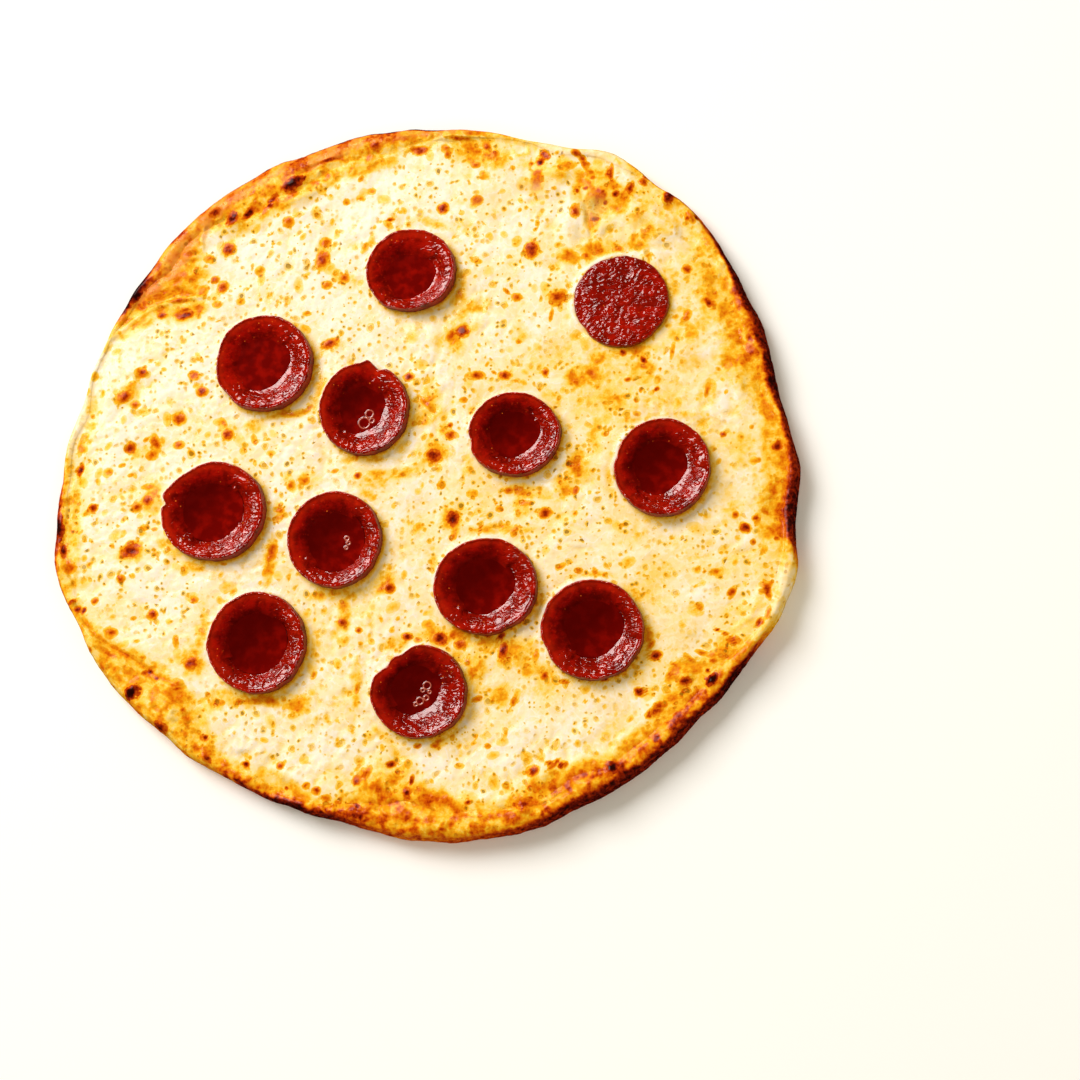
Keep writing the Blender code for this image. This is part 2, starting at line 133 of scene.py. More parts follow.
# Blisters and scorched places near the rim: direction, radius, half along the edge, half
# across it, tilt in degrees, toast.
RIM_SPOTS = [
    (58.5, 137.5, 0.8, 2, 10, 0.66), (57, 135, 1.4, 1, 0, 0.6), (54.3, 136.5, 0.9, 2.6, 0, 0.66),
    (52.8, 143, 1.5, 1.2, 0, 0.66), (48.1, 143.3, 2, 2.8, 0, 0.88),
    (47.3, 140.5, 1.5, 1.5, 0, 0.5), (43.7, 143, 2, 1.6, 0, 0.6), (42.8, 144.6, 1.4, 0.8, 0, 0.85),
    (37.2, 128.5, 1.6, 1.5, 0, 0.62), (29.8, 129, 2.2, 1.2, 0, 0.64),
    (21.6, 135.6, 2, 1.4, 0, 0.72), (30.4, 119, 1.6, 1.3, 0, 0.52),
    (27.5, 117.5, 1.8, 1.4, 0, 0.38), (16, 116, 2.4, 1.6, 0, 0.4), (3.5, 137, 2.2, 1.6, 0, 0.72),
    (7, 135.5, 1.4, 1.2, 0, 0.42), (1.3, 127.3, 1.4, 1.2, 0, 0.42), (114, 128, 5.4, 2.5, 8, 0.96),
    (118.8, 126.3, 3.4, 1.5, 20, 0.8), (119.6, 124.6, 1.6, 1.4, 0, 0.84),
    (107, 131.8, 4.4, 0.9, 0, 0.78), (98.4, 132.5, 2.8, 2.2, 0, 0.72),
    (99.5, 135.3, 2.4, 1.2, 0, 0.62), (96.3, 134.2, 1.6, 1.4, 0, 0.64),
    (91, 129.6, 3.4, 1.3, 0, 0.76), (86.4, 129.5, 1.5, 1.4, 0, 0.52), (84, 133.6, 5, 0.7, 0, 0.66),
    (79.5, 132.6, 1.5, 1.3, 0, 0.62), (80.9, 129.4, 1.7, 1.4, 0, 0.56),
    (77.6, 129.5, 1.4, 1.4, 0, 0.58), (82.8, 131.5, 2, 1.4, 0, 0.52),
    (78.5, 127.5, 1.6, 1.2, 0, 0.5), (81.2, 125, 1.4, 1.3, 0, 0.56), (79, 120.7, 1.2, 1.1, 0, 0.5),
    (69.7, 134.5, 1.4, 1.3, 0, 0.76), (69.7, 131.2, 1.1, 1, 0, 0.8),
    (64.8, 139.2, 1.3, 1.1, 0, 0.72), (63.4, 138, 1.4, 1.1, 0, 0.7),
    (62.3, 136.8, 1.1, 0.9, 0, 0.62), (61, 134.5, 1.1, 1, 0, 0.66),
    (61.4, 125.5, 0.9, 0.8, 0, 0.78), (128.4, 134.9, 3, 1.9, 0, 0.8),
    (126.5, 128.6, 3.2, 2.2, 20, 0.9), (123.5, 126.8, 3.6, 1.5, 22, 0.88),
    (134.5, 123, 1.5, 1.3, 0, 0.52), (135.4, 129.2, 1.6, 1.6, 0, 0.58),
    (136.5, 115, 1.3, 1.2, 0, 0.66), (139.5, 116, 1.6, 1.4, 0, 0.5),
    (148, 123.5, 1.4, 1.2, 0, 0.66), (145.4, 116, 3.6, 1.6, -40, 0.76),
    (147.3, 136.2, 5.4, 1.7, 0, 0.99), (165.2, 123.6, 2, 1.7, 0, 0.56),
    (163.8, 120.4, 1.8, 1.5, 0, 0.54), (159.5, 120, 1.7, 1.5, 0, 0.64),
    (162.4, 121.6, 1.2, 1, 0, 0.42), (162.5, 137, 1.5, 1.1, 0, 0.44),
    (174.5, 135.8, 3, 1.1, 0, 0.5), (178.7, 135.5, 2.1, 1.2, 0, 0.76),
    (179, 123.5, 1.5, 1.2, 0, 0.42), (187.5, 143.4, 5.6, 2.2, 0, 1),
    (191.5, 142.6, 3.4, 1.4, 0, 0.86), (194, 141.4, 2.4, 1.6, 0, 0.62),
    (199.7, 143.6, 0.9, 2.4, 10, 0.78), (201.2, 142.2, 1.4, 1.4, 0, 0.76),
    (200.8, 135.3, 1.1, 1, 0, 0.72), (206.8, 134, 2, 1.9, 0, 0.54),
    (211, 142.5, 1.8, 1.1, 0, 0.64), (207.8, 143.4, 1.2, 0.7, 0, 0.62),
    (217.3, 137.8, 2.4, 3.6, 0, 1), (224.7, 137.4, 3.2, 2, 10, 0.88),
    (234, 134.4, 2, 1.4, 0, 0.78), (238, 133, 1.8, 1.2, 0, 0.56), (231.3, 129, 1.5, 1.2, 0, 0.7),
    (215.9, 129, 1.1, 2, 0, 0.74), (217.8, 127.2, 1.2, 0.8, 0, 0.68),
    (221.2, 122.5, 2.6, 2, 40, 0.58), (225.6, 127, 1, 0.9, 0, 0.62), (240, 128, 1.5, 1, 0, 0.66),
    (219.8, 113.5, 2.4, 2, 0, 0.74), (260.5, 133, 2.8, 1.1, 0, 0.74),
    (260.5, 128.5, 1.9, 1.8, 0, 0.76), (253.3, 126, 1.5, 1.2, 0, 0.62),
    (251.2, 125.5, 1.2, 1, 0, 0.6), (259.8, 118.4, 1.8, 1.8, 0, 0.74),
    (261, 116, 1.2, 2.4, 20, 0.62), (269.3, 121, 1.7, 3, 0, 0.76), (266.5, 117, 2.4, 1.4, 0, 0.56),
    (274, 123, 1.2, 0.8, 0, 0.7), (265, 132, 1.4, 0.9, 0, 0.66), (271, 131, 1.8, 1, 0, 0.66),
    (275.3, 135, 1.6, 1.3, 0, 0.68), (288.6, 132.2, 2.6, 2.2, 0, 0.72),
    (292, 121.6, 2.3, 1.7, 0, 0.72), (297.3, 124.5, 1.5, 1.3, 0, 0.76),
    (296, 122.6, 2.6, 0.9, 15, 0.72), (299.5, 130, 1.5, 1.3, 0, 0.78),
    (304, 134.4, 2.2, 2.4, 0, 1), (315.5, 128.5, 3.6, 1.9, 0, 0.74), (322, 129.6, 2.1, 2, 0, 0.78),
    (324.8, 136.8, 2.9, 1.9, 0, 1), (322.3, 124, 4.4, 2, 0, 0.52), (325.4, 126, 0.9, 3, -10, 0.58),
    (331.6, 136, 1.3, 2.8, 20, 0.7), (328, 132, 1.6, 1.3, 0, 0.56), (336, 142, 1.2, 1.1, 0, 0.68),
    (341.2, 139.3, 3, 1, -25, 0.68), (337.6, 143.2, 2.2, 0.9, 10, 0.56),
    (338.5, 128, 2.4, 0.9, 0, 0.64), (334, 119, 1.5, 1.3, 0, 0.52), (341, 121, 1.8, 1.3, 0, 0.42),
    (349, 138.5, 1.1, 1, 0, 0.62), (351.5, 130, 2, 1.1, 0, 0.64), (347.6, 130, 1, 0.9, 0, 0.62),
    (359.8, 141.3, 2.4, 1.4, 0, 0.72),
]
# Broad baked patches of the rim, in the same form.
RIM_PATCHES = [
    (142, 130, 9, 6, 0, 0.5), (126, 131, 9, 4, 0, 0.52), (290, 130, 10, 5, 0, 0.46),
    (268, 128, 14, 6, 0, 0.48), (25, 134, 12, 4, 0, 0.5), (228, 124, 5, 7, 0, 0.34),
    (316.5, 137, 10, 4, 0, 0.6), (46.5, 128, 4, 3.2, 0, 0.34), (67, 127, 5, 2.6, 20, 0.36),
    (65.5, 134, 3.2, 2.4, 0, 0.4), (355, 141, 9, 3, 0, 0.7), (306, 138.5, 16, 3, 0, 0.62),
]
# Raised rings of melted cheese and burst bubbles: direction, radius, size, width, rise, toast.
RINGS = [
    (136.2, 129, 2.8, 0.7, 0.7, 0.2), (143.6, 121.5, 5.2, 0.9, 0.6, 0.3),
    (73.5, 133.8, 3.2, 0.8, 0.5, 0.36), (128.6, 134, 2.8, 0.7, 0.5, 0.56),
    (200.6, 142.6, 2.2, 0.6, 0.5, 0.5), (225, 130, 2.2, 0.7, 0.6, 0.06),
    (307.8, 138, 1.6, 0.5, 0.5, 0.3), (34.5, 136, 2.8, 0.7, 0.5, 0.26),
    (101, 131, 4.2, 0.8, 0.4, 0.2), (93.5, 132.6, 3.2, 0.7, 0.5, 0.12),
    (88, 133.2, 3.4, 0.7, 0.5, 0.12), (288.6, 132.2, 2.8, 0.6, 0.4, 0.5),
    (188, 137, 3, 0.8, 0.4, 0.22), (340, 141, 4, 0.9, 0.5, 0.24), (24, 133, 3, 0.7, 0.4, 0.34),
    (108.5, 126, 3, 0.7, 0.5, 0.16), (104, 126.5, 2.6, 0.7, 0.5, 0.14),
    (267, 126, 4, 0.9, 0.4, 0.36), (256, 130, 2.4, 0.6, 0.4, 0.2), (212, 139, 3.2, 0.8, 0.4, 0.34),
    (236, 124, 4.2, 1, 0.5, 0.02), (331, 140.5, 2.4, 0.7, 0.4, 0.3), (196, 144, 3, 0.7, 0.4, 0.34),
    (3.5, 137, 2.4, 0.6, 0.3, 0.5),
]
# Folds where cheese laps on crust: width, rise, toast and points as (direction, radius).
FOLDS = [
    (0.8, 0.7, 0.10, [(155.5, 136.5), (151.0, 132.0), (147.0, 126.5), (143.5, 120.0),
                      (140.5, 113.5)]),
    (0.7, 0.4, 0.16, [(39.6, 138.5), (38.6, 134.0), (38.2, 130.0)]),
    (0.8, -0.7, 0.62, [(203.0, 141.3), (206.0, 139.2), (209.0, 135.6), (212.5, 130.6),
                       (217.0, 127.0), (222.5, 121.0)]),
    (0.7, 0.5, 0.12, [(131.5, 137.0), (131.0, 133.5), (133.0, 130.5), (134.0, 127.0)]),
    (0.7, -0.5, 0.70, [(112.5, 130.3), (109.0, 131.6), (104.5, 131.5)]),
    (0.7, 0.4, 0.14, [(117.0, 122.0), (112.0, 121.4), (107.0, 124.0), (104.0, 126.0)]),
    (0.6, 0.4, 0.16, [(103.0, 128.5), (100.0, 126.6), (96.0, 128.0), (92.0, 131.0),
                      (86.0, 134.4), (80.0, 135.4)]),
    (0.7, 0.4, 0.34, [(266.0, 124.0), (265.0, 119.0), (263.0, 115.0)]),
    (0.7, -0.5, 0.50, [(326.0, 133.0), (325.3, 128.0), (324.4, 124.5)]),
    (0.7, 0.5, 0.26, [(343.0, 137.0), (340.0, 139.0), (336.0, 138.0), (333.0, 134.0)]),
    (0.6, 0.4, 0.20, [(180.0, 137.0), (186.0, 138.5), (192.0, 136.5), (196.0, 140.5)]),
    (0.6, -0.4, 0.40, [(296.0, 134.0), (291.0, 134.5), (286.0, 132.0), (281.0, 127.0)]),
]
# Width in mm of the rosy band of bare dough at the edge.
ROSY: Pairs = [
    (0, 0.0), (78, 0.0), (84, 3.0), (96, 6.0), (110, 7.5), (120, 7.0), (130, 9.0), (142, 12.0),
    (149, 6.0), (154, 0.0), (170, 0.0), (260, 0.0), (330, 0.0),
]
# How much of a lip the cheese ends in: 0 flush with the crust, 1 a rounded step.
SEAM_LIP: Pairs = [
    (0, 0.2), (40, 0.0), (80, 0.1), (96, 0.5), (112, 1.0), (140, 0.9), (156, 0.1), (190, 0.1),
    (202, 0.7), (218, 0.7), (230, 0.3), (262, 0.5), (290, 0.2), (320, 0.3), (340, 0.1),
]


class Kind(Enum):
    """The two kinds of slice."""

    CUP = "cup"
    FLAT = "flat"


@dataclass(frozen=True)
class Noise:
    """Seeded smooth noise on a plane.

    Attributes:
        seed: chooses the pattern.
    """

    seed: int

    def _turns(self, cell_x: np.ndarray, cell_y: np.ndarray) -> np.ndarray:
        """Direction that belongs to each lattice point, from two shuffled tables.

        Args:
            cell_x: whole-numbered places along the first direction.
            cell_y: whole-numbered places along the second direction.

        Returns:
            Angles in radians.
        """
        chance = np.random.default_rng(self.seed)
        order = chance.permutation(LATTICE)
        turn = chance.random(LATTICE) * FULL_TURN
        return turn[order[(order[cell_x % LATTICE] + cell_y) % LATTICE]]

    def smooth(self, x: np.ndarray, y: np.ndarray) -> np.ndarray:
        """Gradient noise: at each lattice corner a slope, blended by a fifth-power curve.

        Args:
            x: places along the first direction, in lattice steps.
            y: places along the second direction, in lattice steps.

        Returns:
            Values from about -1 to 1.
        """
        cell_x = np.floor(x).astype(int)
        cell_y = np.floor(y).astype(int)
        part_x = x - cell_x
        part_y = y - cell_y
        blend_x = part_x ** 3 * (part_x * (part_x * 6.0 - 15.0) + 10.0)
        blend_y = part_y ** 3 * (part_y * (part_y * 6.0 - 15.0) + 10.0)

        def corner(step_x: int, step_y: int) -> np.ndarray:
            """Value of one corner's slope at each place."""
            angle = self._turns(cell_x + step_x, cell_y + step_y)
            return np.cos(angle) * (part_x - step_x) + np.sin(angle) * (part_y - step_y)

        low = corner(0, 0) * (1.0 - blend_x) + corner(1, 0) * blend_x
        high = corner(0, 1) * (1.0 - blend_x) + corner(1, 1) * blend_x
        return 1.5 * (low * (1.0 - blend_y) + high * blend_y)

    @staticmethod
    def _halving(size: float, count: int, layer: Callable[[float, int], np.ndarray]) -> np.ndarray:
        """Mean of layers, each half the size and half the weight of the last.

        Args:
            size: size of the first layer's lumps in mm.
            count: number of layers.
            layer: gives a layer from the size of its lumps and its number.

        Returns:
            The weighted mean.
        """
        weights = [0.5 ** number for number in range(count)]
        total = sum(weight * layer(size * weight, number) for number, weight in enumerate(weights))
        return total / sum(weights)

    def layers(self, x: np.ndarray, y: np.ndarray, size: float, count: int) -> np.ndarray:
        """Smooth noise in layers.

        Args:
            x: places in mm.
            y: places in mm.
            size: size of the largest lumps in mm.
            count: number of layers.

        Returns:
            Values from about -1 to 1.
        """
        def layer(lump: float, number: int) -> np.ndarray:
            """Smooth noise, shifted a little further in each layer."""
            shift = 17.3 * number
            return self.smooth(x / lump + shift, y / lump - shift)

        return self._halving(size, count, layer)

    def folds(self, x: np.ndarray, y: np.ndarray, size: float, count: int) -> np.ndarray:
        """Sharp-crested noise: each layer is one minus the size of smooth noise, squared.

        Args:
            x: places in mm.
            y: places in mm.
            size: size of the largest folds in mm.
            count: number of layers.

        Returns:
            Values from 0 in the hollows to 1 on the crests.
        """
        def layer(fold: float, number: int) -> np.ndarray:
            """Crests where smooth noise changes sign."""
            shift = 31.7 * number
            return (1.0 - np.abs(self.smooth(x / fold + shift, y / fold + shift))) ** 2

        return self._halving(size, count, layer)

    def cells(self, x: np.ndarray, y: np.ndarray, size: float) -> np.ndarray:
        """Distance to the nearest of one scattered point in each square of a lattice.

        Args:
            x: places in mm.
            y: places in mm.
            size: side of a square in mm.

        Returns:
            The distance in squares.
        """
        cell_x = np.floor(x / size).astype(int)
        cell_y = np.floor(y / size).astype(int)
        part_x = x / size - cell_x
        part_y = y / size - cell_y
        nearest = np.full_like(x, 9.0)
        for step_x in (-1, 0, 1):
            for step_y in (-1, 0, 1):
                angle = self._turns(cell_x + step_x, cell_y + step_y)
                off_x = step_x + 0.5 + 0.42 * np.cos(angle * 3.0) - part_x
                off_y = step_y + 0.5 + 0.42 * np.sin(angle * 5.0) - part_y
                nearest = np.minimum(nearest, np.hypot(off_x, off_y))
        return nearest


def step_up(value: np.ndarray, low: float, high: float) -> np.ndarray:
    """Smooth step from 0 at low to 1 at high, by three squares less two cubes."""
    share = np.clip((value - low) / (high - low), 0.0, 1.0)
    return share * share * (3.0 - 2.0 * share)


def bell(away: np.ndarray, width: float | np.ndarray) -> np.ndarray:
    """One in the middle, falling off as the exponential of minus the distance squared."""
    return np.exp(-((away / width) ** 2))


def away_from_lamp(turn: np.ndarray) -> np.ndarray:
    """From 0 in the lamp's direction, the upper left, to 1 in the opposite one."""
    return 0.5 + 0.5 * np.cos(turn + 0.25 * math.pi)


def cubic_piece(share: np.ndarray, first: np.ndarray, last: np.ndarray, leave: np.ndarray,
                arrive: np.ndarray) -> np.ndarray:
    """Cubic between two values with given slopes there.

    Args:
        share: how far along the piece, from 0 to 1.
        first: value at its start.
        last: value at its end.
        leave: slope at its start, over the whole piece.
        arrive: slope at its end, over the whole piece.

    Returns:
        The value at each place.
    """
    rest = 1.0 - share
    start = (1.0 + 2.0 * share) * rest ** 2 * first + share * rest ** 2 * leave
    return start + share ** 2 * (3.0 - 2.0 * share) * last - share ** 2 * rest * arrive


def closed_curve(table: Pairs, degrees: np.ndarray) -> np.ndarray:
    """Smooth closed curve through pairs, by cubic pieces with slopes from their neighbours.

    Args:
        table: (direction in degrees, value) pairs in rising order.
        degrees: directions to read.

    Returns:
        The value in each direction.
    """
    knots = np.array(table, dtype=float)
    turn = np.array([360.0, 0.0])
    knots = np.concatenate([knots[-3:] - turn, knots, knots[:3] + turn])
    angle = knots[:, 0]
    value = knots[:, 1]
    slope = np.gradient(value, angle)
    at = np.mod(degrees, 360.0)
    left = np.clip(np.searchsorted(angle, at, side="right") - 1, 0, len(angle) - 2)
    width = angle[left + 1] - angle[left]
    share = (at - angle[left]) / width
    return cubic_piece(share, value[left], value[left + 1], width * slope[left],
                       width * slope[left + 1])


def ripple(waves: list[tuple[int, float, float]], degrees: np.ndarray) -> np.ndarray:
    """Sum of small waves round the edge, each (number round the edge, size, start)."""
    turn = np.radians(degrees)
    return sum(size * np.sin(number * turn + start) for number, size, start in waves)


def dough_radius(degrees: np.ndarray) -> np.ndarray:
    """Outer radius of the dough in each direction."""
    return closed_curve(DOUGH_EDGE, degrees) + ripple(EDGE_RIPPLE, degrees)


def cheese_radius(degrees: np.ndarray) -> np.ndarray:
    """Radius at which the cheese ends in each direction."""
    return closed_curve(CHEESE_EDGE, degrees) + ripple(SEAM_RIPPLE, degrees)


def crest_height(degrees: np.ndarray) -> np.ndarray:
    """Height of the crust's crest in each direction."""
    return closed_curve(CREST, degrees) + ripple(CREST_RIPPLE, degrees)


@dataclass(frozen=True)
class Puff:
    """A rounded bubble near the edge.

    Attributes:
        direction: where it sits, in degrees round the bread.
        radius: how far out it sits, in mm.
        reach_out: half length across the edge, in mm.
        reach_along: half length along the edge, in mm.
        rise: height in mm, below zero for a dip.
    """

    direction: float
    radius: float
    reach_out: float
    reach_along: float
    rise: float

    def bell(self, x: np.ndarray, y: np.ndarray) -> np.ndarray:
        """Bell across the edge times a bell along it.

        Args:
            x: places in mm.
            y: places in mm.

        Returns:
            Values from 0 to 1, the most at the middle.
        """
        turn = math.radians(self.direction)
        out = x * math.cos(turn) + y * math.sin(turn) - self.radius
        along = y * math.cos(turn) - x * math.sin(turn)
        return bell(out, self.reach_out) * bell(along, self.reach_along)


CRUST_PUFFS = [
    Puff(34.4, 141.0, 2.2, 1.2, 0.9), Puff(43.5, 143.0, 2.6, 2.4, 1.2),
    Puff(48.3, 142.0, 3.2, 1.7, 1.6), Puff(53.0, 142.5, 1.6, 1.6, 0.6),
    Puff(85.0, 135.0, 3.5, 6.0, 0.9), Puff(99.0, 133.5, 4.0, 5.0, 0.8),
    Puff(107.0, 131.6, 1.3, 3.6, 0.7), Puff(114.0, 127.6, 2.0, 4.4, 1.2),
    Puff(119.0, 124.8, 1.6, 1.6, 0.8), Puff(126.0, 127.5, 2.4, 3.6, 1.3),
    Puff(128.5, 135.0, 2.4, 2.4, 1.0), Puff(147.5, 136.8, 2.0, 5.0, 0.9),
    Puff(187.0, 142.5, 2.6, 4.0, 0.9), Puff(199.8, 142.5, 2.2, 1.3, 0.9),
    Puff(194.0, 141.5, 2.2, 1.8, 0.4), Puff(207.0, 140.5, 3.2, 4.5, 1.4),
    Puff(217.0, 137.2, 3.0, 2.0, 1.6), Puff(224.8, 137.2, 2.2, 2.6, 1.3),
    Puff(233.5, 134.2, 1.8, 1.8, 1.0), Puff(274.0, 133.0, 4.0, 7.0, 1.2),
    Puff(275.0, 134.2, 1.8, 1.4, 0.4), Puff(288.5, 133.5, 3.0, 2.6, 1.4),
    Puff(299.0, 135.0, 3.5, 5.0, 1.0), Puff(303.8, 133.4, 2.0, 1.7, 1.2),
    Puff(315.0, 137.0, 3.0, 5.0, 0.9), Puff(324.5, 136.6, 2.2, 2.0, 1.2),
    Puff(337.5, 144.0, 3.0, 5.0, 1.2), Puff(344.0, 145.5, 3.0, 3.0, 0.9),
]

# ---- cheese -------------------------------------------------------------------------------
CHEESE_LEVEL = 10.2
LUMP_COUNT = 260
LUMP_RANGE = 138.0
LUMP_RISE = (-0.7, 0.9)
LUMP_REACH = (4.5, 9.0)
LUMP_SEED = 11

CHEESE_PUFFS = [
    Puff(66.5, 130.5, 6.5, 6.0, 2.6), Puff(57.5, 130.0, 4.5, 5.5, 1.6),
    Puff(50.0, 131.0, 5.0, 5.0, 0.9), Puff(72.0, 122.0, 5.0, 6.0, -0.9),
    Puff(293.5, 125.5, 4.5, 6.0, 1.6), Puff(315.5, 128.5, 3.6, 4.0, 1.2),
    Puff(322.5, 128.5, 4.0, 3.6, 1.6), Puff(337.0, 138.0, 4.0, 6.0, 1.2),
    Puff(331.0, 131.5, 4.5, 3.6, 1.0), Puff(265.0, 115.0, 5.0, 5.0, 0.8),
    Puff(140.0, 124.0, 4.0, 8.0, 0.9), Puff(214.0, 127.0, 4.5, 4.5, 1.0),
]

